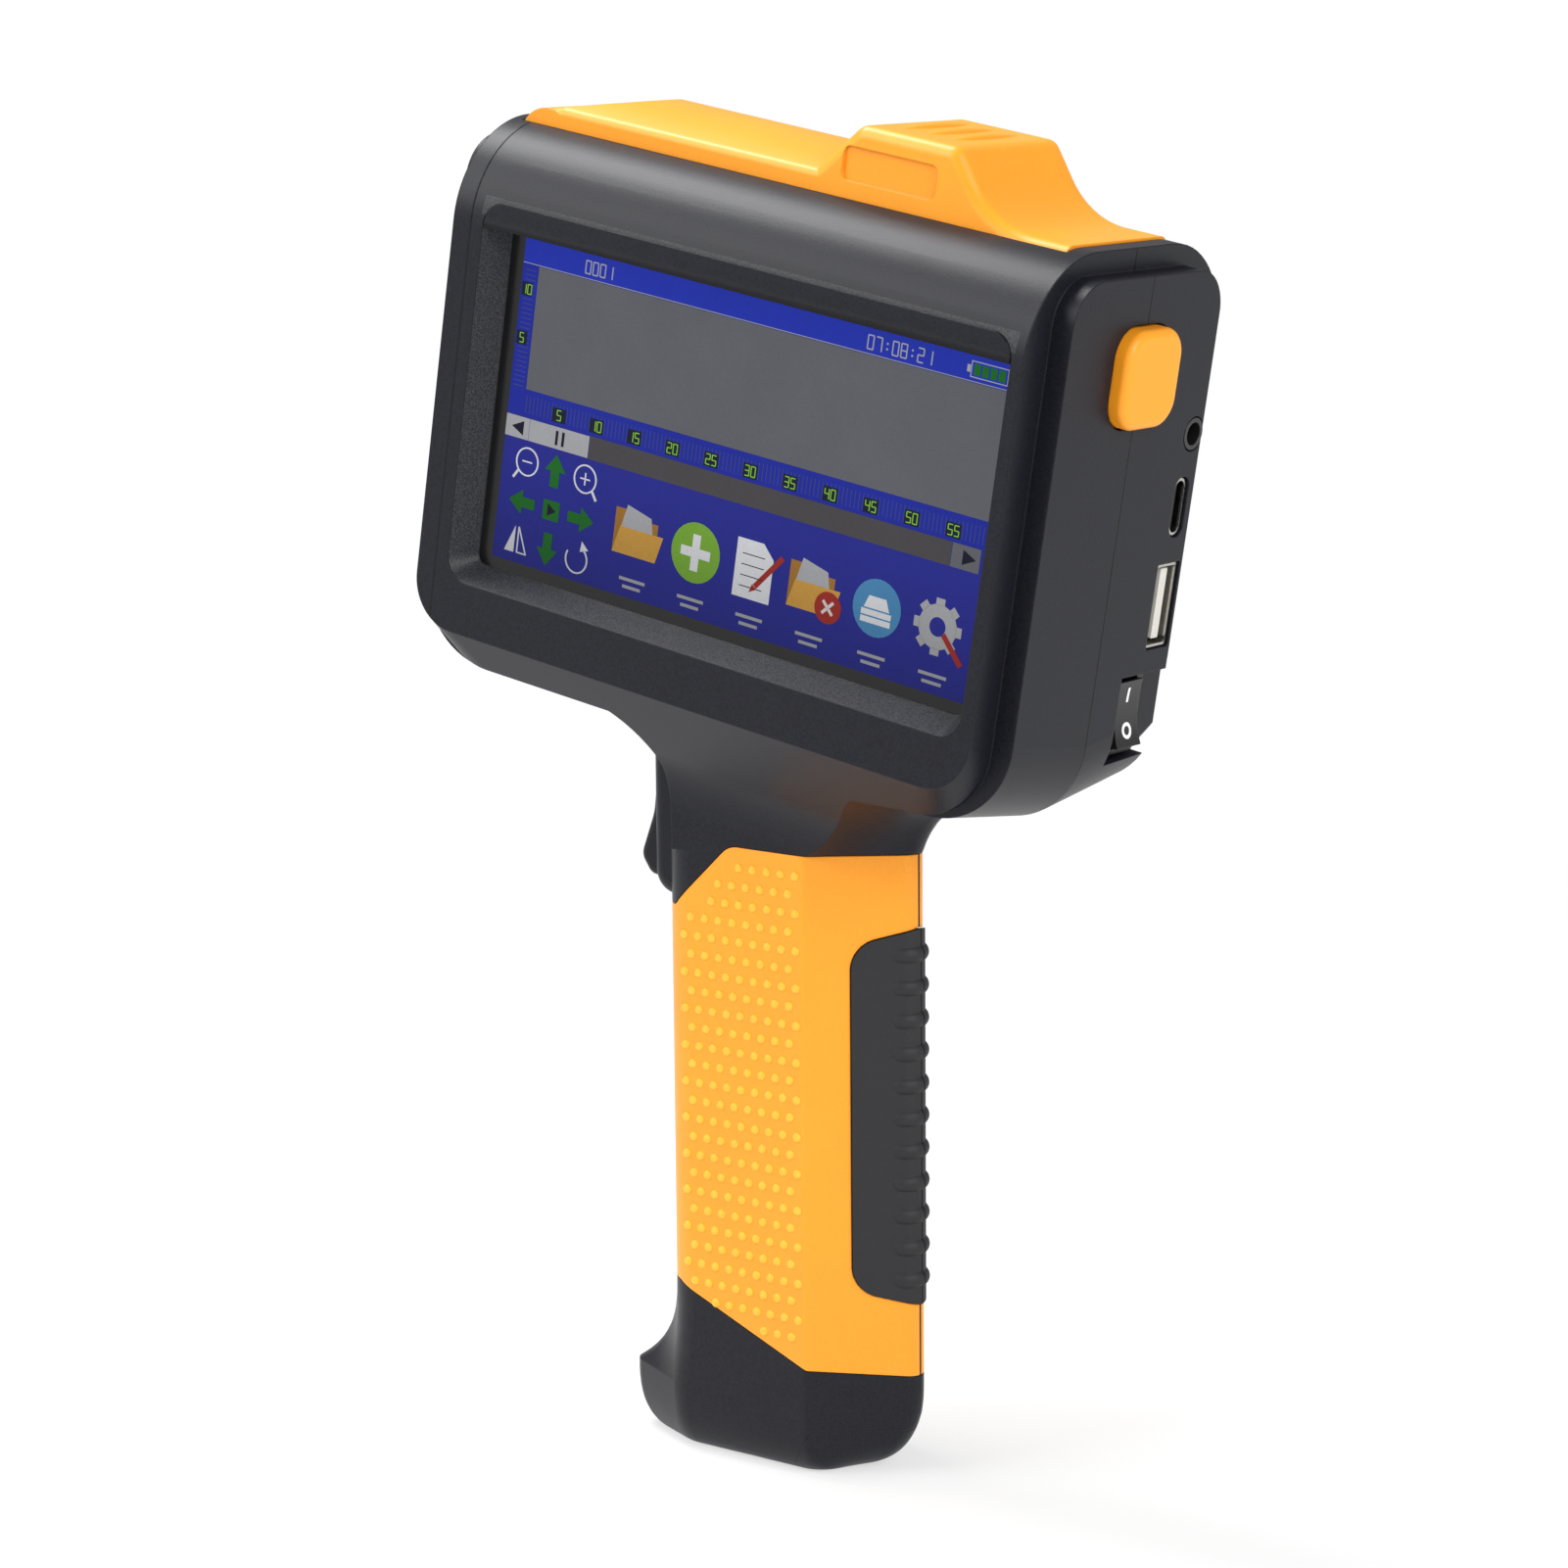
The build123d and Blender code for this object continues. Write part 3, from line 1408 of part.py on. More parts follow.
with BuildPart() as power_rocker:
    with BuildSketch(head_side.offset(-power_y - rocker_width / 2)):
        with BuildLine():
            ThreePointArc(*turned(
                [(rocker_reach, rocker_half), (rocker_reach - rocker_dip, 0), (rocker_reach, -rocker_half)],
                rocker_pivot, power_z, rocker_swing,
            ))
            Polyline(*turned(
                [
                    (rocker_reach, -rocker_half), (-rocker_gap, -rocker_half),
                    (-rocker_hub, -rocker_hub / 2), (-rocker_hub, rocker_hub / 2),
                    (-rocker_gap, rocker_half), (rocker_reach, rocker_half),
                ],
                rocker_pivot, power_z, rocker_swing,
            ))
        make_face()
    extrude(amount=rocker_width)
    add(head_rod(rocker_pivot, power_z, power_y - rocker_axle, power_y + rocker_axle, rocker_pin))
finish(power_rocker, "power_rocker")

# Coloured grip panels and the ribbed rubber pads on the rear faces
rear_angle = asin(grip_half / rear_width)
pad_rear = grip_rear - rear_round * (1 / sin(rear_angle) - 1) + pad_proud
rib_x = pad_rear + rib_height - rib_round
rib_core = rib_round - rib_width / 2
with BuildPart() as ribs:
    for count in range(rib_count):
        z = (pad_top + pad_bottom) / 2 + (count - (rib_count - 1) / 2) * rib_pitch
        with BuildSketch(Plane(origin=(rib_x, 0, z), x_dir=(1, 0, 0), z_dir=(0, -1, 0))):
            with BuildLine():
                ThreePointArc((rib_core, -rib_width / 2), (rib_round, 0), (rib_core, rib_width / 2))
                Polyline(
                    (rib_core, rib_width / 2), (0, rib_width / 2), (0, -rib_width / 2),
                    (rib_core, -rib_width / 2),
                )
            make_face()
        revolve(axis=Axis((rib_x, 0, z), (0, 0, 1)))

for side, name in ((-1, "left"), (1, "right")):
    with BuildPart() as panel:
        add(grip_form(0, 0, neck_top))
        add(grip_form(skin, 0, neck_top), mode=Mode.SUBTRACT)
        add(panel_region(0), mode=Mode.INTERSECT)
        add(keep_side(side), mode=Mode.INTERSECT)
        add(pad_region(skin_gap), mode=Mode.SUBTRACT)
    finish(panel, f"{name}_grip_panel")
    with BuildPart() as pad:
        add(grip_form(-pad_proud, 0, neck_top))
        add(ribs.part)
        add(grip_form(skin, 0, neck_top), mode=Mode.SUBTRACT)
        add(pad_region(0), mode=Mode.INTERSECT)
        add(keep_side(side), mode=Mode.INTERSECT)
    finish(pad, f"{name}_grip_pad")

# Battery cells on their tray
with BuildPart() as battery_tray:
    with BuildSketch(Plane.XY.offset(cell_floor - tray_thick)):
        add(grip_section(skin + core_wall + tray_gap))
    extrude(amount=tray_thick + tray_rim)
    with BuildSketch(Plane.XY.offset(cell_floor)):
        with Locations((cell_front_x, 0), (cell_rear_x, 0)):
            Circle(cell_radius + tray_gap)
    extrude(amount=tray_rim, mode=Mode.SUBTRACT)
    for x, length in tray_legs:
        add(part_box(
            x - length / 2, x + length / 2, -tray_leg_half, tray_leg_half, foot_wall, cell_floor - tray_thick,
        ))
finish(battery_tray, "battery_tray")

for x, name in ((cell_front_x, "front_cell"), (cell_rear_x, "rear_cell")):
    with BuildPart() as cell:
        with BuildSketch(Plane.XY.offset(cell_floor)):
            with Locations((x, 0)):
                Circle(cell_radius)
        extrude(amount=cell_length)
        with BuildSketch(Plane.XY.offset(cell_floor + cell_length)):
            with Locations((x, 0)):
                Circle(cell_nub)
        extrude(amount=cell_nub_height)
    finish(cell, name)
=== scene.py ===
import json
from math import cos, pi, radians, sin

import bmesh
import bpy
from mathutils import Matrix, Vector


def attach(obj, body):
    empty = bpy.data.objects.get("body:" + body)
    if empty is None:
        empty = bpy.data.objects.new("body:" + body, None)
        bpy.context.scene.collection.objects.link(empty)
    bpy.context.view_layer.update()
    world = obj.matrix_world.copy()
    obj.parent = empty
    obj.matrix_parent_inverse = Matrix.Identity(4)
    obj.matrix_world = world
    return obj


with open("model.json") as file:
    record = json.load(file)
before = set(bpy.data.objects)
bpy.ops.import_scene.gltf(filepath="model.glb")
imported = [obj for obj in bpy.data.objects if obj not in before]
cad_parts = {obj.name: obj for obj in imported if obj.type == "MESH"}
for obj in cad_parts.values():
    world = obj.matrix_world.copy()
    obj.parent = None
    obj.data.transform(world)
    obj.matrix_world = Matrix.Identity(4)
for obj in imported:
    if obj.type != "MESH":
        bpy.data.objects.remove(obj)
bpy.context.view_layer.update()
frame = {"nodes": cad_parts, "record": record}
nodes = frame["nodes"]
scene = bpy.context.scene
mm = 0.001  # lengths in the dictionaries below are in millimetres, unless a note says metres
print("frame loaded:", len(nodes), "CAD nodes")


# Shader graphs
class Graph:
    def __init__(self, name):
        self.material = bpy.data.materials.new(name)
        self.material.use_nodes = True
        self.tree = self.material.node_tree
        self.shader = self.tree.nodes["Principled BSDF"]
        self.coords = self.tree.nodes.new("ShaderNodeTexCoord").outputs["Object"]

    def join(self, source, target):
        self.tree.links.new(source, target)

    def put(self, value, socket):  # a plain value or another node's output
        if isinstance(value, (int, float, tuple)):
            socket.default_value = value
        else:
            self.join(value, socket)

    def noise(self, grain, detail):
        node = self.tree.nodes.new("ShaderNodeTexNoise")
        node.inputs["Scale"].default_value = 1 / (grain * mm)  # grain is the blotch size
        node.inputs["Detail"].default_value = detail
        self.join(self.coords, node.inputs["Vector"])
        return node.outputs["Fac"]

    def ramp(self, source, stops, colours):  # from one colour to another between two stops
        node = self.tree.nodes.new("ShaderNodeValToRGB")
        for element, stop, colour in zip(node.color_ramp.elements, stops, colours):
            element.position = stop
            element.color = (*colour, 1)
        self.join(source, node.inputs["Fac"])
        return node.outputs["Color"]

    def spread(self, source, low, high, start=0, end=1):  # start to end becomes low to high
        node = self.tree.nodes.new("ShaderNodeMapRange")
        keys = ("From Min", "From Max", "To Min", "To Max")
        for key, value in zip(keys, (start, end, low, high)):
            node.inputs[key].default_value = value
        self.join(source, node.inputs["Value"])
        return node.outputs["Result"]

    def maths(self, kind, first, second):
        node = self.tree.nodes.new("ShaderNodeMath")
        node.operation = kind
        for value, socket in zip((first, second), node.inputs):
            self.put(value, socket)
        return node.outputs["Value"]

    def mix(self, kind, share, first, second):
        node = self.tree.nodes.new("ShaderNodeMix")
        node.data_type = "RGBA"
        node.blend_type = kind
        for value, key in ((share, "Factor"), (first, "A"), (second, "B")):
            self.put(value, node.inputs[key])
        return node.outputs["Result"]

    def darken(self, colour, mask, share):  # multiplies a colour where the mask is 1
        return self.mix("MULTIPLY", mask, colour, (share, share, share, 1))

    def along(self, axis):  # place along an axis through the part's origin, in mm
        node = self.tree.nodes.new("ShaderNodeVectorMath")
        node.operation = "DOT_PRODUCT"
        node.inputs[1].default_value = Vector(axis) / mm
        self.join(self.coords, node.inputs[0])
        return node.outputs["Value"]

    def near(self, axis, place, half):  # 1 within half of a plane across that axis, in mm
        gap = self.maths("ABSOLUTE", self.maths("SUBTRACT", self.along(axis), place), 0)
        return self.maths("LESS_THAN", gap, half)

    def bump(self, source, look):
        node = self.tree.nodes.new("ShaderNodeBump")
        node.inputs["Strength"].default_value = look["bump"]
        node.inputs["Distance"].default_value = look["depth"] * mm
        self.join(source, node.inputs["Height"])
        if look["edge"]:  # softened corners catch the light
            corner = self.tree.nodes.new("ShaderNodeBevel")
            corner.samples = look["edgeSamples"]
            corner.inputs["Radius"].default_value = look["edge"] * mm
            self.join(corner.outputs["Normal"], node.inputs["Normal"])
        self.join(node.outputs["Normal"], self.shader.inputs["Normal"])


# The head leans back: places on it are given along it, across it and up it
headTilt, headCentre = radians(9.5), Vector((11, 0, 164.5))
headAxis = Vector((cos(headTilt), 0, -sin(headTilt)))
headUp = Vector((sin(headTilt), 0, cos(headTilt)))
headAlong, headRise = headCentre.dot(headAxis), headCentre.dot(headUp)


def onHead(along, across, up):
    return (headCentre + headAxis * along + Vector((0, across, 0)) + headUp * up) * mm


def tint(colour, share):
    return tuple(min(1, c * share) for c in colour)


# The slopes round the screen's window have a coarser, paler grain
windowSlope = {"halfLength": 51.4, "halfHeight": 31.2, "deep": -26.0, "grain": 0.26, "detail": 2,
               "stops": (0.38, 0.62), "dark": (0.014, 0.0145, 0.0175),
               "pale": (0.042, 0.043, 0.049)}


def slopeGrain(graph, colour):
    look = windowSlope
    inside = graph.near(headAxis, headAlong, look["halfLength"])
    inside = graph.maths("MULTIPLY", inside, graph.near(headUp, headRise, look["halfHeight"]))
    deep = graph.maths("GREATER_THAN", graph.along((0, 1, 0)), look["deep"])
    inside = graph.maths("MULTIPLY", inside, deep)
    grain = graph.noise(look["grain"], look["detail"])
    coarse = graph.ramp(grain, look["stops"], (look["dark"], look["pale"]))
    return graph.mix("MIX", inside, colour, coarse)


# What a finish is like where its own dictionary says nothing
plainLook = {"detail": 3, "blotch": 18, "stops": (0.3, 0.7), "speck": 0.12, "uneven": 0.05,
             "haze": 0.05, "depth": 0.03, "bump": 0.4, "edge": 0, "edgeSamples": 6, "metal": 0,
             "shine": 0.5, "seams": (), "seamShade": 0.05, "seamCut": 9, "slope": False}


# Moulded or rolled: fine grain for colour, gloss and bump, wide blotches for slight unevenness
def surface(name, ownLook):
    look = {**plainLook, **ownLook}
    graph = Graph(name)
    colour, speck = look["colour"], look["speck"]
    fine = graph.noise(look["grain"], look["detail"])
    wide = graph.noise(look["blotch"], look["detail"])
    specks = graph.ramp(fine, look["stops"], (tint(colour, 1 - speck), tint(colour, 1 + speck)))
    clouds = graph.ramp(wide, look["stops"], ((1 - look["uneven"],) * 3, (1, 1, 1)))
    result, relief = graph.mix("MULTIPLY", 1, specks, clouds), fine
    for axis, place, half in look["seams"]:  # thin dark parting lines, cut in
        cut = graph.near(axis, place, half)
        result = graph.darken(result, cut, look["seamShade"])
        relief = graph.maths("SUBTRACT", relief, graph.maths("MULTIPLY", cut, look["seamCut"]))
    if look["slope"]:
        result = slopeGrain(graph, result)
    graph.join(result, graph.shader.inputs["Base Color"])
    low, high = look["roughness"] - look["haze"], look["roughness"] + look["haze"]
    graph.join(graph.spread(fine, low, high), graph.shader.inputs["Roughness"])
    graph.bump(relief, look)
    graph.shader.inputs["Metallic"].default_value = look["metal"]
    graph.shader.inputs["Specular IOR Level"].default_value = look["shine"]
    return graph.material


# Seams: the axis across each, its place and half its width
partSeam = ((0, 1, 0), 0, 0.24)
noseSeam = (headAxis, headAlong - 53.4, 0.2)
finishes = {
    "charcoal": {"colour": (0.0087, 0.0091, 0.0138), "grain": 0.36, "roughness": 0.4, "bump": 0.6,
                 "edge": 0.35, "shine": 0.22, "speck": 0.3},
    "orange": {"colour": (0.9, 0.32, 0.011), "grain": 0.4, "roughness": 0.4, "bump": 0.15,
               "speck": 0.03, "edge": 0.3, "shine": 0.4},
    "grip_rubber": {"colour": (0.014, 0.014, 0.016), "grain": 0.25, "roughness": 0.6, "bump": 0.5,
                    "edge": 0.3, "shine": 0.4, "seams": [partSeam]},
    "roller_rubber": {"colour": (0.012, 0.012, 0.012), "grain": 0.3, "roughness": 0.7,
                      "bump": 0.5},
    "steel": {"colour": (0.6, 0.6, 0.61), "grain": 0.2, "roughness": 0.3, "metal": 1,
              "bump": 0.15},
    "touch_glass": {"colour": (0.003, 0.003, 0.004), "grain": 6, "roughness": 0.16, "haze": 0.03,
                    "bump": 0.02, "shine": 0.35},
    "lcd": {"colour": (0.01, 0.01, 0.012), "grain": 0.3, "roughness": 0.25, "bump": 0.05},
    "frame_steel": {"colour": (0.55, 0.56, 0.57), "grain": 0.5, "roughness": 0.35, "metal": 1,
                    "bump": 0.1},
    "board": {"colour": (0.012, 0.12, 0.05), "grain": 0.9, "roughness": 0.35, "bump": 0.2,
              "speck": 0.25},
    "black_plastic": {"colour": (0.009, 0.009, 0.01), "grain": 0.25, "roughness": 0.34,
                      "bump": 0.2, "edge": 0.2},
    "nozzle_metal": {"colour": (0.8, 0.55, 0.2), "grain": 0.25, "roughness": 0.25, "metal": 1,
                     "bump": 0.1},
    "socket_metal": {"colour": (0.5, 0.49, 0.46), "grain": 0.3, "roughness": 0.22, "metal": 1,
                     "bump": 0.05},
    "white_plastic": {"colour": (0.62, 0.6, 0.55), "grain": 0.3, "roughness": 0.4, "bump": 0.1,
                      "speck": 0.04},
    "cell_sleeve": {"colour": (0.02, 0.11, 0.3), "grain": 0.6, "roughness": 0.3, "bump": 0.1},
}
casingLook = {**finishes["charcoal"], "seams": [partSeam, noseSeam]}
windowLook = {**casingLook, "slope": True}
panelLook = {**finishes["orange"], "seams": [partSeam]}
paint = {slot: surface(slot, look) for slot, look in finishes.items()}
ownPaint = {  # nodes whose finish also shows where the casing parts
    "left_casing": surface("charcoal_parted", windowLook),
    "right_casing": surface("charcoal_far", casingLook),
    "left_grip_panel": surface("orange_parted", panelLook),
    "right_grip_panel": surface("orange_far", panelLook),
}
for part in frame["record"]["subparts"]:
    mesh = nodes[part["node"]].data
    mesh.materials.clear()
    mesh.materials.append(ownPaint.get(part["node"], paint[part["material_slot"]]))
print("finishes on every CAD node")


def addPiece(name, shape, finish, body, smooth=False):
    mesh = bpy.data.meshes.new(name)
    bmesh.ops.recalc_face_normals(shape, faces=shape.faces)
    shape.to_mesh(mesh)
    shape.free()
    piece = bpy.data.objects.new(name, mesh)
    scene.collection.objects.link(piece)
    mesh.materials.append(finish)
    if smooth:
        mesh.shade_smooth()
    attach(piece, body)


# Raised dots on the two flat sides of the grip: rows of 9 and 8 by turns, with short rows at the
# top and the foot
gripDots = {"face": 12.4, "firstX": -7.14, "firstZ": 86.4, "pitchX": 2.789, "pitchZ": 3.015,
            "across": 9, "above": (8, 7, 6, 5), "fullRows": 19, "below": (8, 7, 3),
            "radius": 0.82, "height": 0.42, "sunk": 0.1, "sides": 12, "rings": (0, 30, 60),
            # the dots' paler, yellower orange is a painted highlight for the light their domes
            # catch
            "colour": (0.95, 0.45, 0.03)}


def dotPlaces(look):
    rows = [(-n - 1, count) for n, count in enumerate(look["above"])]
    rows += [(n, look["across"] - n % 2) for n in range(look["fullRows"])]
    rows += [(look["fullRows"] + n, count) for n, count in enumerate(look["below"])]
    for row, count in rows:
        full = look["across"] - row % 2
        for place in range(full - count, full):  # short rows keep the rear end
            x = look["firstX"] + (place + row % 2 * 0.5) * look["pitchX"]
            yield x, look["firstZ"] - row * look["pitchZ"]


def addDome(shape, centre, out, look):
    sides = look["sides"]
    turns = [2 * pi * n / sides for n in range(sides)]

    def spot(x, z, high):
        return shape.verts.new((x * mm, out * (look["face"] + high) * mm, z * mm))

    def ring(wide, high):
        return [spot(centre[0] + wide * cos(a), centre[1] + wide * sin(a), high) for a in turns]

    rings = [ring(look["radius"] * cos(radians(angle)), look["height"] * sin(radians(angle)))
             for angle in look["rings"]]
    skirt = ring(look["radius"], -look["sunk"])
    rings.insert(0, skirt)
    tip = spot(*centre, look["height"])
    for low, high in zip(rings, rings[1:]):
        for n in range(sides):
            shape.faces.new((low[n], low[n - 1], high[n - 1], high[n]))
    for n in range(sides):
        shape.faces.new((rings[-1][n], rings[-1][n - 1], tip))
    shape.faces.new(skirt)  # closed below, inside the panel


def makeDots():
    # painted highlight: the dots take a paler orange than the panel around them
    look = {**finishes["orange"], "colour": gripDots["colour"], "edge": 0}
    finish = surface("dot_orange_painted_highlight", look)
    for name, out in (("left_grip_dots", -1), ("right_grip_dots", 1)):
        shape = bmesh.new()
        for place in dotPlaces(gripDots):
            addDome(shape, place, out, gripDots)
        addPiece(name, shape, finish, "casing", smooth=True)


makeDots()
print("dots on the grip")


# On and off marks on the rocker's hollow face
rockerMarks = {"pivot": (52.7, 13.5, -31.1), "swing": 7, "half": 5.2, "reach": 2.9, "dip": 0.9,
               "lift": 0.03, "sunk": 0.1, "stroke": 0.28, "barAt": 2.9, "barHalf": 1.15,
               "barSteps": 3, "ringAt": -2.7, "ring": 1.0, "ringSteps": 24}
markLook = {"colour": (0.85, 0.85, 0.85), "grain": 0.3, "roughness": 0.5, "speck": 0.05}


def onRocker(across, up, lift):
    look = rockerMarks
    out = look["reach"] - look["dip"] * (1 - (up / look["half"]) ** 2) + lift
    turn = radians(look["swing"])
    return onHead(look["pivot"][0] + out * cos(turn) - up * sin(turn), look["pivot"][1] + across,
                  look["pivot"][2] + up * cos(turn) + out * sin(turn))


def makeRockerMarks():
    look = rockerMarks
    stroke, lift, sunk, steps = (look[key] for key in ("stroke", "lift", "sunk", "barSteps"))
    shape = bmesh.new()

    def strip(inner, outer, closed):
        corners = ((inner, lift), (outer, lift), (outer, -sunk), (inner, -sunk))
        rails = [[shape.verts.new(onRocker(*point, rise)) for point in side]
                 for side, rise in corners]
        for n in range(0 if closed else 1, len(inner)):
            for one, two in zip(rails, rails[1:] + rails[:1]):
                shape.faces.new((one[n - 1], two[n - 1], two[n], one[n]))
        for end in () if closed else (0, -1):
            shape.faces.new([rail[end] for rail in rails])

    def circle(radius):
        turns = [2 * pi * n / look["ringSteps"] for n in range(look["ringSteps"])]
        return [(radius * cos(a), look["ringAt"] + radius * sin(a)) for a in turns]

    ups = [look["barAt"] + look["barHalf"] * n / steps for n in range(-steps, steps + 1)]
    strip([(-stroke, up) for up in ups], [(stroke, up) for up in ups], False)
    strip(circle(look["ring"] - stroke), circle(look["ring"] + stroke), True)
    addPiece("rocker_marks", shape, surface("mark_white", markLook), "rocker")


makeRockerMarks()
print("marks on the rocker")


# Picture on the screen: flat inks on the glass, one piece for each colour. Places are across and
# down from its upper left.
screenLook = {"front": 21.4, "shift": (1.67, 0.6), "scale": 0.996, "middle": (47.5, 26.95),
              "right": 94.2, "bottom": 53.9, "foot": 0.005}
screenInks = {  # lift off the glass, colour
    "blue": (0.02, (0.018, 0.022, 0.23)),
    "header": (0.04, (0.014, 0.03, 0.37)),
    "band": (0.04, (0.012, 0.022, 0.29)),
    "grey": (0.04, (0.105, 0.11, 0.125)),
    "track": (0.04, (0.06, 0.057, 0.062)),
    "amber": (0.05, (0.3, 0.14, 0.025)),
    "tick": (0.05, (0.045, 0.055, 0.16)),
    "box": (0.06, (0.008, 0.012, 0.03)),
    "leaf": (0.07, (0.16, 0.34, 0.035)),
    "sky": (0.07, (0.06, 0.21, 0.4)),
    "pale": (0.07, (0.33, 0.335, 0.35)),
    "yellow": (0.09, (0.5, 0.27, 0.05)),
    "lime": (0.09, (0.22, 0.5, 0.04)),
    "green": (0.09, (0.01, 0.125, 0.015)),
    "white": (0.11, (0.6, 0.61, 0.64)),
    "red": (0.13, (0.3, 0.025, 0.018)),
    "ink": (0.13, (0.008, 0.009, 0.02)),
    "cross": (0.15, (0.6, 0.57, 0.57)),
}
# Seven-stroke figures: shares of their height, and the strokes of each
figureLook = {"wide": 0.5, "step": 0.74, "stroke": 0.1, "colon": 1 / 5, "colonHalf": 1 / 14}
figureStrokes = {"0": "abcdef", "1": "bc", "2": "abged", "3": "abgcd", "4": "fgbc", "5": "afgcd",
                 "6": "afgedc", "7": "abc", "8": "abcdefg", "9": "abcdfg"}


class Ink:
    def __init__(self, lift):
        self.lift = lift
        self.shape = bmesh.new()

    def spot(self, point, lift):
        look = screenLook
        along = (point[0] - look["middle"][0]) * look["scale"] + look["shift"][0]
        up = (look["middle"][1] - point[1]) * look["scale"] + look["shift"][1]
        return self.shape.verts.new(onHead(along, -look["front"] - lift, up))

    def area(self, points):  # a thin closed plate
        top = [self.spot(point, self.lift) for point in points]
        foot = [self.spot(point, screenLook["foot"]) for point in points]
        self.shape.faces.new(top)
        self.shape.faces.new(foot[::-1])
        for n in range(len(top)):
            self.shape.faces.new((top[n - 1], top[n], foot[n], foot[n - 1]))

    def bar(self, left, upper, right, lower):
        self.area([(left, upper), (right, upper), (right, lower), (left, lower)])

    def disc(self, u, v, radius, sides=28):
        turns = [2 * pi * n / sides for n in range(sides)]
        self.area([(u + radius * cos(a), v + radius * sin(a)) for a in turns])

    def hoop(self, u, v, inner, outer, start=0, end=360, sides=24):
        turns = [radians(start + (end - start) * n / sides) for n in range(sides + 1)]
        for a, b in zip(turns, turns[1:]):
            corners = ((inner, a), (outer, a), (outer, b), (inner, b))
            self.area([(u + r * cos(c), v + r * sin(c)) for r, c in corners])

    def line(self, start, end, width):
        run = Vector((end[0] - start[0], end[1] - start[1])).normalized() * width / 2
        side = Vector((-run.y, run.x))
        corners = ((start, side), (end, side), (end, -side), (start, -side))
        self.area([tuple(Vector(point) + shift) for point, shift in corners])

    def figures(self, text, u, v, height):  # the middle of the row is at u, v
        wide, step, stroke, colon, half = (height * share for share in figureLook.values())
        left = u - (len(text) * step - (step - wide)) / 2
        up, mid, low = v - height / 2, v, v + height / 2
        for n, mark in enumerate(text):
            a, b = left + n * step, left + n * step + wide
            if mark == ":":
                centre = (a + b) / 2
                for spot in (v - colon, v + colon):
                    self.bar(centre - half, spot - half, centre + half, spot + half)
                continue
            ends = {"a": ((a, up), (b, up)), "b": ((b, up), (b, mid)), "c": ((b, mid), (b, low)),
                    "d": ((a, low), (b, low)), "e": ((a, mid), (a, low)),
                    "f": ((a, up), (a, mid)), "g": ((a, mid), (b, mid))}
            for name in figureStrokes[mark]:
                self.line(*ends[name], stroke)


# Bars are left, upper, right, lower; figures are text, middle across, middle down, height
topBar = {"bar": (0, 0, screenLook["right"], 5.9), "rule": (0, 5.93, screenLook["right"], 6.03),
          "counter": ("0001", 15.4, 4.2, 2), "clock": ("07:08:21", 74, 4.2, 2.1),
          "battery": ((87.1, 2.9, 93.9, 3.05), (87.1, 5.25, 93.9, 5.4), (87.1, 3.05, 87.25, 5.25),
                      (93.75, 3.05, 93.9, 5.25), (86.4, 3.6, 87, 4.7)),
          "charge": (87.65, 3.3, 88.85, 5), "charges": 4, "chargePitch": 1.5}


def drawTopBar(inks):
    look = topBar
    inks["header"].bar(*look["bar"])
    inks["pale"].bar(*look["rule"])
    inks["pale"].figures(*look["counter"])
    inks["pale"].figures(*look["clock"])
    for edge in look["battery"]:
        inks["pale"].bar(*edge)
    left, upper, right, lower = look["charge"]
    for n in range(look["charges"]):
        shift = n * look["chargePitch"]
        inks["green"].bar(left + shift, upper, right + shift, lower)


# The editor's page, with a ruler at its left and one below
page = {"paper": (3.3, 6.15, screenLook["right"], 25.85), "sideBand": (0, 6.15, 3.2, 30.1),
        "footBand": (3.3, 25.95, screenLook["right"], 30.1), "pitch": 0.773, "stroke": 0.14}
footRuler = {"ticks": 117, "first": 3.6, "reach": (26.8, 29.6), "numbers": 11, "worth": 5,
             "start": 2.86, "pitch": 7.73, "half": 1.4, "box": (27.4, 29.7), "level": 28.55,
             "height": 1.6}
sideRuler = {"ticks": 25, "first": 25.5, "reach": (0.6, 2.8), "half": 1.1, "box": (0.2, 2.35),
             "numbers": (("10", 10.1), ("5", 17.9)), "middle": 1.28, "height": 1.5}


def drawPage(inks):
    inks["grey"].bar(*page["paper"])
    inks["band"].bar(*page["sideBand"])
    inks["band"].bar(*page["footBand"])
    look, half = footRuler, footRuler["half"]
    for n in range(look["ticks"]):
        u = look["first"] + page["pitch"] * n
        inks["tick"].bar(u, look["reach"][0], u + page["stroke"], look["reach"][1])
    for n in range(1, look["numbers"] + 1):
        u = look["start"] + look["pitch"] * n
        inks["box"].bar(u - half, look["box"][0], u + half, look["box"][1])
        inks["lime"].figures(str(look["worth"] * n), u, look["level"], look["height"])
    look, half = sideRuler, sideRuler["half"]
    for n in range(look["ticks"]):
        v = look["first"] - page["pitch"] * n
        inks["tick"].bar(look["reach"][0], v, look["reach"][1], v + page["stroke"])
    for text, v in look["numbers"]:
        inks["box"].bar(look["box"][0], v - half, look["box"][1], v + half)
        inks["lime"].figures(text, look["middle"], v, look["height"])


scrollBar = {"keys": ((0, 30.4, 4.8, 33.9), (4.9, 30.4, 17.2, 33.9)), "track": (17.3, 30.3, 88, 34),
             "end": (88.1, 30.3, 93.3, 34),
             "arrows": (((1.3, 32.15), (3.7, 31), (3.7, 33.3)),
                        ((92.6, 32.15), (90.2, 33.3), (90.2, 31))),
             "ridges": ((10.4, 31, 10.9, 33.3), (11.7, 31, 12.2, 33.3))}


def drawScrollBar(inks):
    for key in scrollBar["keys"]:
        inks["pale"].bar(*key)
    inks["track"].bar(*scrollBar["track"])
    inks["grey"].bar(*scrollBar["end"])
    for arrow in scrollBar["arrows"]:
        inks["ink"].area(arrow)
    for ridge in scrollBar["ridges"]:
        inks["ink"].bar(*ridge)


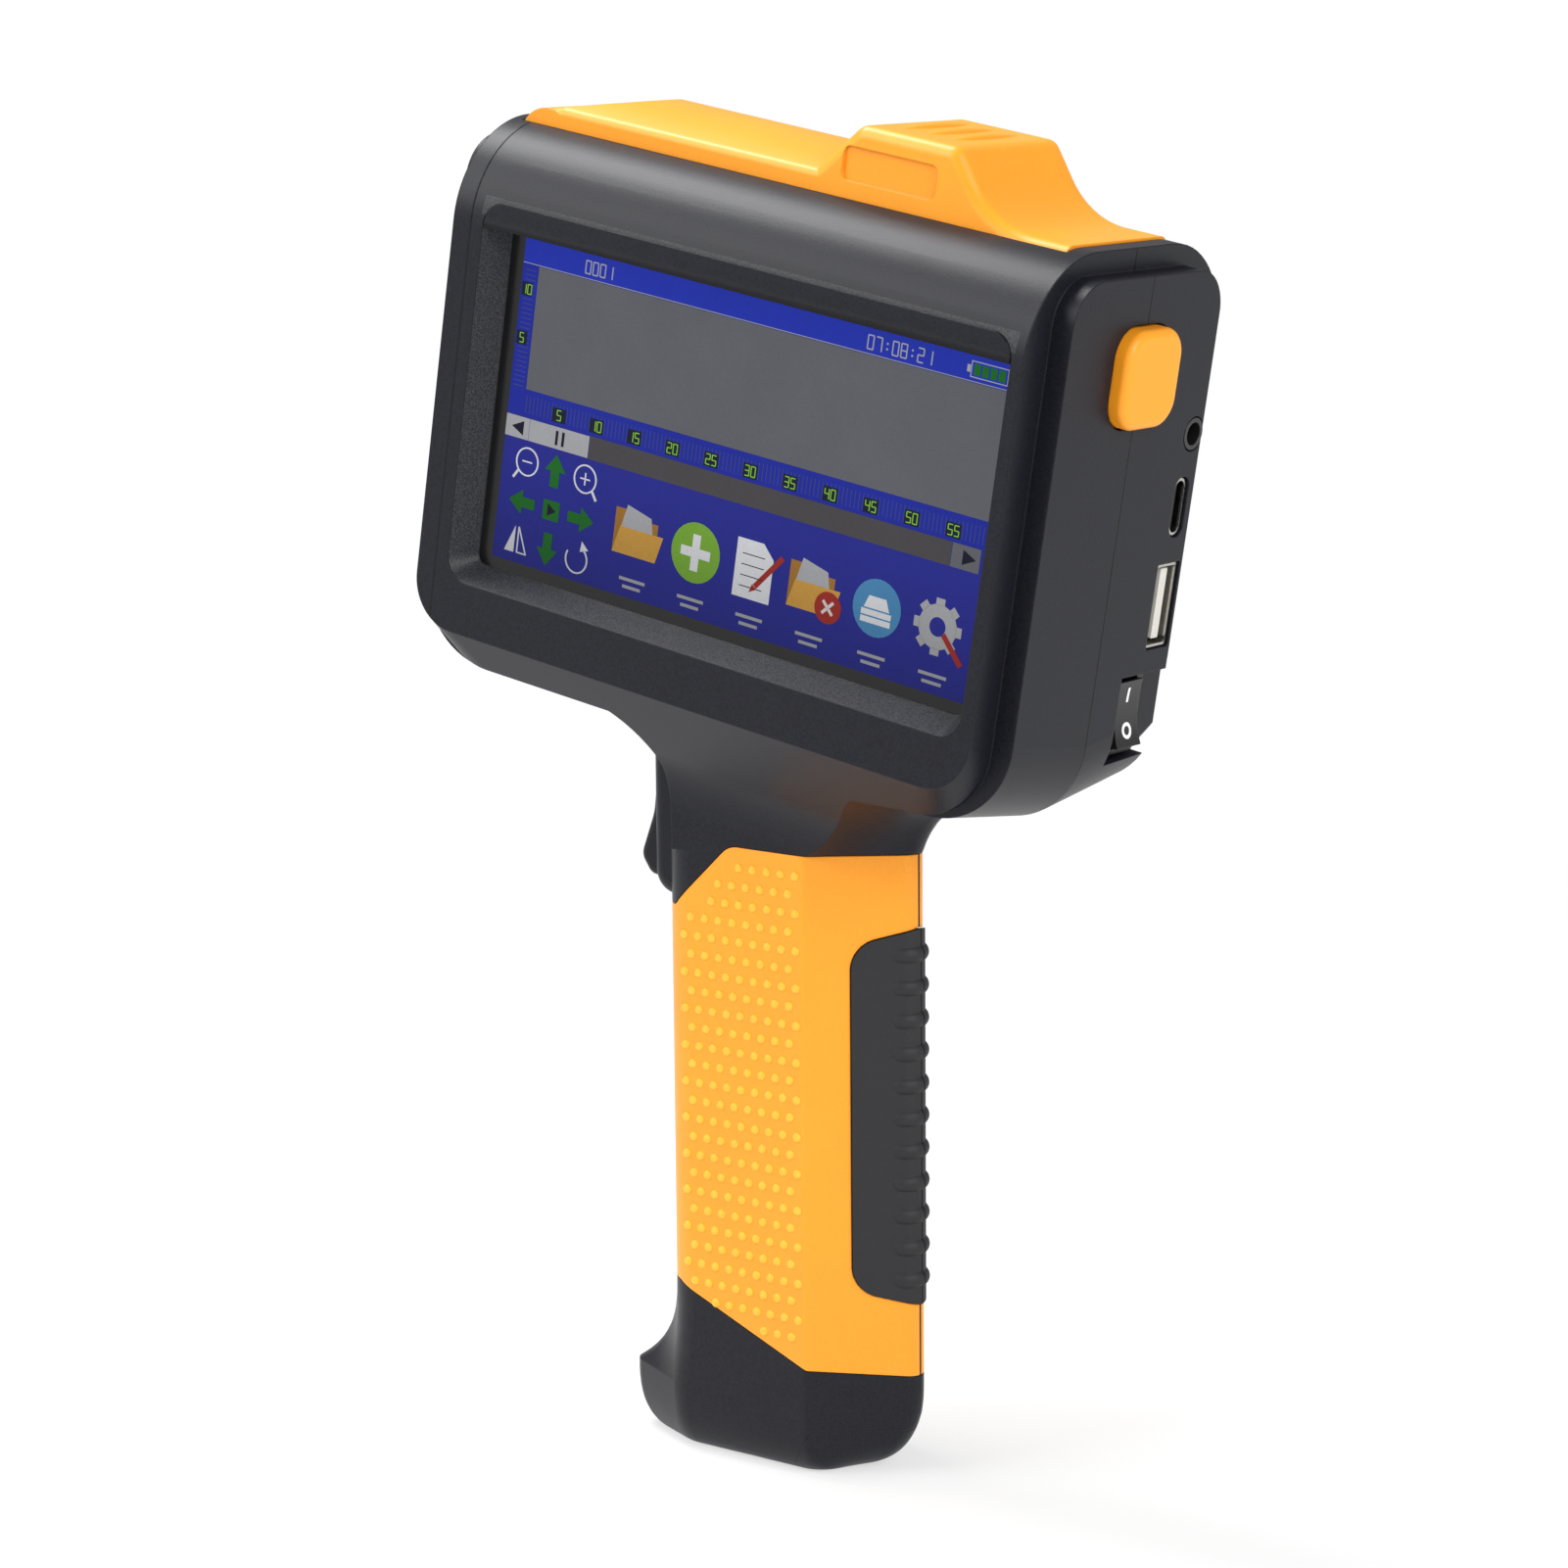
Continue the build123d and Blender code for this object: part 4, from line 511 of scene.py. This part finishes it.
# Keys at the left: two magnifiers, four arrows round a middle key, mirror and turn
magnifiers = {"places": ((5.2, 2.6), (17.3, 19.9)), "level": 37.3, "ring": (2.1, 2.35),
              "handleShare": 0.62, "handleReach": (38.9, 40.3), "handle": 0.4, "dash": 1,
              "dashHalf": 0.11, "plus": ((17.19, 36.3, 17.41, 37.15), (17.19, 37.45, 17.41, 38.3))}
arrowKeys = {"middle": 11.1, "level": 43.9, "head": 2.7, "length": 5.3, "stem": 0.42,
             # reach, half width, way across, way down
             "arrows": ((9.1, 2.1, 0, -1), (9.0, 2.1, 0, 1), (8.8, 2.0, -1, 0), (8.8, 2.0, 1, 0)),
             "key": (1.65, 1.6), "mark": ((-0.7, -1), (1, 0), (-0.7, 1))}
turnKeys = {"full": ((2.4, 52.3), (4.3, 52.3), (4.3, 48)),
            "hollow": (((5, 48), (5, 52.3)), ((5, 52.2), (6.9, 52.2)), ((6.9, 52.3), (5, 48))),
            "stroke": 0.22, "ring": (17.3, 50.4, 2.05, 2.3, -60, 210),
            "tip": ((18.1, 47.3), (19.5, 48.5), (17.9, 49))}


def drawMagnifiers(inks):
    look, white = magnifiers, inks["white"]
    level, thin = look["level"], look["dashHalf"]
    for u, handle in look["places"]:
        start, end = look["handleReach"]
        white.hoop(u, level, *look["ring"])
        white.line((u + (handle - u) * look["handleShare"], start), (handle, end), look["handle"])
        white.bar(u - look["dash"], level - thin, u + look["dash"], level + thin)
    for bar in look["plus"]:
        white.bar(*bar)


def drawArrowKeys(inks):
    look, middle, level = arrowKeys, arrowKeys["middle"], arrowKeys["level"]
    for reach, wide, across, down in look["arrows"]:
        neck, tail, stem = reach - look["head"], reach - look["length"], wide * look["stem"]
        points = [(reach, 0), (neck, wide), (neck, stem), (tail, stem), (tail, -stem),
                  (neck, -stem), (neck, -wide)]
        inks["green"].area([
            (middle + a * across - b * down, level + a * down + b * across) for a, b in points
        ])
    wide, high = look["key"]
    inks["green"].bar(middle - wide, level - high, middle + wide, level + high)
    inks["ink"].area([(middle + a, level + b) for a, b in look["mark"]])


def drawTurnKeys(inks):
    white = inks["white"]
    white.area(turnKeys["full"])
    for start, end in turnKeys["hollow"]:
        white.line(start, end, turnKeys["stroke"])
    white.hoop(*turnKeys["ring"])
    white.area(turnKeys["tip"])


# Icons: places down are from the middle of their row
iconRow = 43.6
folder = {"places": (28.9, 63.8), "size": (9.4, 7.2),  # outlines in shares of the size
          "back": ((0, 1), (0, 0), (0.375, 0), (0.5, 0.16), (0.92, 0.16), (0.92, 1)),
          "sheet": ((0.1, 0.6), (0.24, -0.1), (0.76, 0.06), (0.86, 0.6)),
          "front": ((0, 1), (0.13, 0.4), (1.05, 0.4), (0.93, 1))}
plusIcon = {"middle": 40.7, "radius": 4.8, "half": 0.75, "reach": 2.9}
noteIcon = {"sheet": ((48.6, 4.6), (48.6, -4.6), (53.6, -4.6), (55.8, -2.4), (55.8, 4.6)),
            "lines": 4, "line": (49.8, -2.4, 54.2, -2.25), "pitch": 1.7,
            "pen": ((52.8, 2.4), (57.5, -3.2)), "penWidth": 0.9,
            "nib": ((51.8, 3.5), (52.3, 2.1), (53.2, 2.8))}
crossIcon = {"middle": (67, 2.2), "radius": 2.5, "reach": 1, "stroke": 0.5}
stackIcon = {"middle": 76, "radius": 4.5, "bars": 2, "bar": (73.2, 0.45, 78.8, 1.35),
             "pitch": 1.15, "cover": ((73.6, 0.2), (74.4, -1.7), (77.6, -1.7), (78.4, 0.2))}
gearIcon = {"middle": 87.4, "ring": (1.5, 3.5), "teeth": 8, "tooth": (3.3, 4.4),
            "toothWidth": 1.6, "tool": ((88.6, 0.9), (92.4, 4.9)), "toolWidth": 0.9}
captions = {"places": (28.9, 40.7, 52.4, 64.1, 76.1, 87.6),  # half length, upper, lower
            "bars": ((2.6, 50.8, 51.3), (1.8, 52, 52.5))}


def inRow(points):
    return [(u, iconRow + v) for u, v in points]


def barsInRow(ink, bar, count, pitch):
    left, upper, right, lower = bar
    for n in range(count):
        shift = iconRow + n * pitch
        ink.bar(left, upper + shift, right, lower + shift)


def drawFolder(inks, place):
    wide, high = folder["size"]
    left, top = place - wide / 2, iconRow - high / 2
    for name, key in (("amber", "back"), ("pale", "sheet"), ("yellow", "front")):
        inks[name].area([(left + wide * a, top + high * b) for a, b in folder[key]])


def drawPlus(inks):
    u, half, reach = plusIcon["middle"], plusIcon["half"], plusIcon["reach"]
    inks["leaf"].disc(u, iconRow, plusIcon["radius"])
    quarter = [(-half, -reach), (half, -reach), (half, -half)]
    outline = []
    for turn in range(4):
        outline += quarter
        quarter = [(-b, a) for a, b in quarter]
    inks["white"].area(inRow([(u + a, b) for a, b in outline]))


def drawNote(inks):
    look = noteIcon
    inks["white"].area(inRow(look["sheet"]))
    barsInRow(inks["ink"], look["line"], look["lines"], look["pitch"])
    inks["red"].line(*inRow(look["pen"]), look["penWidth"])
    inks["red"].area(inRow(look["nib"]))


def drawCross(inks):
    (u, down), reach = crossIcon["middle"], crossIcon["reach"]
    inks["red"].disc(u, iconRow + down, crossIcon["radius"])
    for side in (-reach, reach):
        ends = inRow([(u - reach, down - side), (u + reach, down + side)])
        inks["cross"].line(*ends, crossIcon["stroke"])


def drawStack(inks):
    look = stackIcon
    inks["sky"].disc(look["middle"], iconRow, look["radius"])
    inks["white"].area(inRow(look["cover"]))
    barsInRow(inks["white"], look["bar"], look["bars"], look["pitch"])


def drawGear(inks):
    look = gearIcon
    inks["pale"].hoop(look["middle"], iconRow, *look["ring"])
    for n in range(look["teeth"]):
        a = 2 * pi * n / look["teeth"]
        ends = inRow([(look["middle"] + r * cos(a), r * sin(a)) for r in look["tooth"]])
        inks["pale"].line(*ends, look["toothWidth"])
    inks["red"].line(*inRow(look["tool"]), look["toolWidth"])


def drawIcons(inks):
    first, second = folder["places"]
    drawFolder(inks, first)
    drawPlus(inks)
    drawNote(inks)
    drawFolder(inks, second)
    drawCross(inks)
    drawStack(inks)
    drawGear(inks)
    for u in captions["places"]:  # plain bars in place of words
        for half, upper, lower in captions["bars"]:
            inks["pale"].bar(u - half, upper, u + half, lower)


# Light of the screen: uneven, and dimmer from fadeFrom to fadeTo below the middle of the head
inkLook = {"strength": 0.85, "detail": 2, "stops": (0.3, 0.7), "blotch": 9, "uneven": 0.93,
           "fadeFrom": 8, "fadeTo": 28, "footShare": 0.5, "grain": 0.3, "body": (0.1, 0.16),
           "roughness": 0.22, "shine": 0.1}


def inkFinish(name, colour):
    look, graph = inkLook, Graph(name)
    wide, fine = (graph.noise(look[key], look["detail"]) for key in ("blotch", "grain"))
    glow = graph.ramp(wide, look["stops"], (tint(colour, look["uneven"]), colour))
    fade = graph.spread(graph.along(headUp), 0, 1, headRise - look["fadeFrom"],
                        headRise - look["fadeTo"])
    glow = graph.darken(glow, fade, look["footShare"])
    body = graph.ramp(fine, look["stops"], [tint(colour, share) for share in look["body"]])
    graph.join(glow, graph.shader.inputs["Emission Color"])
    graph.join(body, graph.shader.inputs["Base Color"])
    graph.shader.inputs["Emission Strength"].default_value = look["strength"]
    graph.shader.inputs["Roughness"].default_value = look["roughness"]
    graph.shader.inputs["Specular IOR Level"].default_value = look["shine"]
    return graph.material


def makeScreen():
    inks = {name: Ink(lift) for name, (lift, colour) in screenInks.items()}
    inks["blue"].bar(0, 0, screenLook["right"], screenLook["bottom"])
    for draw in (drawTopBar, drawPage, drawScrollBar, drawMagnifiers, drawArrowKeys, drawTurnKeys,
                 drawIcons):
        draw(inks)
    for name, (lift, colour) in screenInks.items():
        finish = inkFinish(f"screen_{name}", colour)
        addPiece(f"screen_{name}", inks[name].shape, finish, "casing")


makeScreen()
print("picture on the screen")


# Floor, lights and camera; the floor's half side and its whitening are in metres
stage = {"floor": 6.0, "colour": (0.86, 0.86, 0.86), "grain": 40, "detail": 2,
         "stops": (0.3, 0.7), "uneven": 0.985, "roughness": 0.9, "whiteShare": (0.6, 1.0),
         "whiteReach": (0.06, 0.6)}
studio = {"sky": 0.44, "lamps": [
    # place (m), aim (m), size (m), power (W)
    ((-0.55, -0.75, 0.75), (0, 0, 0.13), 0.7, 8.5),
    ((0.85, -0.25, 0.55), (0, 0, 0.13), 0.6, 7),
    ((-0.4, 0.0, 0.95), (0, 0, 0.15), 0.4, 8),
]}


def floorFinish():
    graph = Graph("floor_paper")
    grain = graph.noise(stage["grain"], stage["detail"])
    shades = (tint(stage["colour"], stage["uneven"]), stage["colour"])
    paper = graph.ramp(grain, stage["stops"], shades)
    graph.join(paper, graph.shader.inputs["Base Color"])
    graph.shader.inputs["Roughness"].default_value = stage["roughness"]
    glow = graph.tree.nodes.new("ShaderNodeEmission")
    path = graph.tree.nodes.new("ShaderNodeLightPath")
    seen = graph.maths("MAXIMUM", path.outputs["Is Camera Ray"], path.outputs["Is Glossy Ray"])
    seen = graph.maths("MAXIMUM", seen, path.outputs["Is Transmission Ray"])
    away = graph.tree.nodes.new("ShaderNodeVectorMath")
    away.operation = "LENGTH"
    graph.join(graph.coords, away.inputs[0])
    # whiter away from the object
    rise = graph.spread(away.outputs["Value"], *stage["whiteShare"], *stage["whiteReach"])
    mix = graph.tree.nodes.new("ShaderNodeMixShader")
    graph.join(graph.maths("MULTIPLY", seen, rise), mix.inputs["Fac"])
    graph.join(graph.shader.outputs["BSDF"], mix.inputs[1])
    graph.join(glow.outputs["Emission"], mix.inputs[2])
    graph.join(mix.outputs["Shader"], graph.tree.nodes["Material Output"].inputs["Surface"])
    return graph.material


def makeFloor():
    mesh = bpy.data.meshes.new("floor")
    shape = bmesh.new()
    bmesh.ops.create_grid(shape, x_segments=2, y_segments=2, size=stage["floor"])
    shape.to_mesh(mesh)
    shape.free()
    floor = bpy.data.objects.new("floor", mesh)
    scene.collection.objects.link(floor)
    mesh.materials.append(floorFinish())


def makeSky():  # the camera sees white, the object gets a dimmer light
    world = bpy.data.worlds.new("studio")
    scene.world = world
    world.use_nodes = True
    tree = world.node_tree
    plain, white = tree.nodes["Background"], tree.nodes.new("ShaderNodeBackground")
    for background, strength in ((plain, studio["sky"]), (white, 1)):
        background.inputs["Strength"].default_value = strength
        background.inputs["Color"].default_value = (1, 1, 1, 1)
    path = tree.nodes.new("ShaderNodeLightPath")
    mix = tree.nodes.new("ShaderNodeMixShader")
    tree.links.new(path.outputs["Is Camera Ray"], mix.inputs["Fac"])
    tree.links.new(plain.outputs["Background"], mix.inputs[1])
    tree.links.new(white.outputs["Background"], mix.inputs[2])
    tree.links.new(mix.outputs["Shader"], tree.nodes["World Output"].inputs["Surface"])


def makeLamps():
    for number, (place, aim, size, power) in enumerate(studio["lamps"]):
        light = bpy.data.lights.new(f"softbox{number}", "AREA")
        light.shape = "SQUARE"
        light.size = size
        light.energy = power
        lamp = bpy.data.objects.new(f"softbox{number}", light)
        scene.collection.objects.link(lamp)
        lamp.location = place
        lamp.rotation_euler = (Vector(aim) - Vector(place)).to_track_quat("-Z", "Y").to_euler()


# Camera of the photo: angles in degrees, clip in metres
photoView = {"azimuth": 37.4806, "elevation": 10.5303, "roll": -0.5001,
             "place": (440.25, -569.29, 243.39), "lens": 104.9, "sensor": 36, "clip": 0.01}


def makeCamera():
    turn, rise, roll = (radians(photoView[key]) for key in ("azimuth", "elevation", "roll"))
    side = Vector((cos(turn), sin(turn), 0))
    back = Vector((sin(turn) * cos(rise), -cos(turn) * cos(rise), sin(rise)))
    up = back.cross(side)
    data = bpy.data.cameras.new("photoCamera")
    data.lens = photoView["lens"]
    data.sensor_width = photoView["sensor"]
    data.clip_start = photoView["clip"]
    camera = bpy.data.objects.new("photoCamera", data)
    scene.collection.objects.link(camera)
    right = side * cos(roll) + up * sin(roll)
    above = up * cos(roll) - side * sin(roll)
    pose = Matrix((right, above, back)).transposed().to_4x4()
    camera.matrix_world = Matrix.Translation(Vector(photoView["place"]) * mm) @ pose
    scene.camera = camera


makeFloor()
makeSky()
makeLamps()
makeCamera()
scene.view_settings.view_transform = "Standard"
print("stage, lamps and camera set")
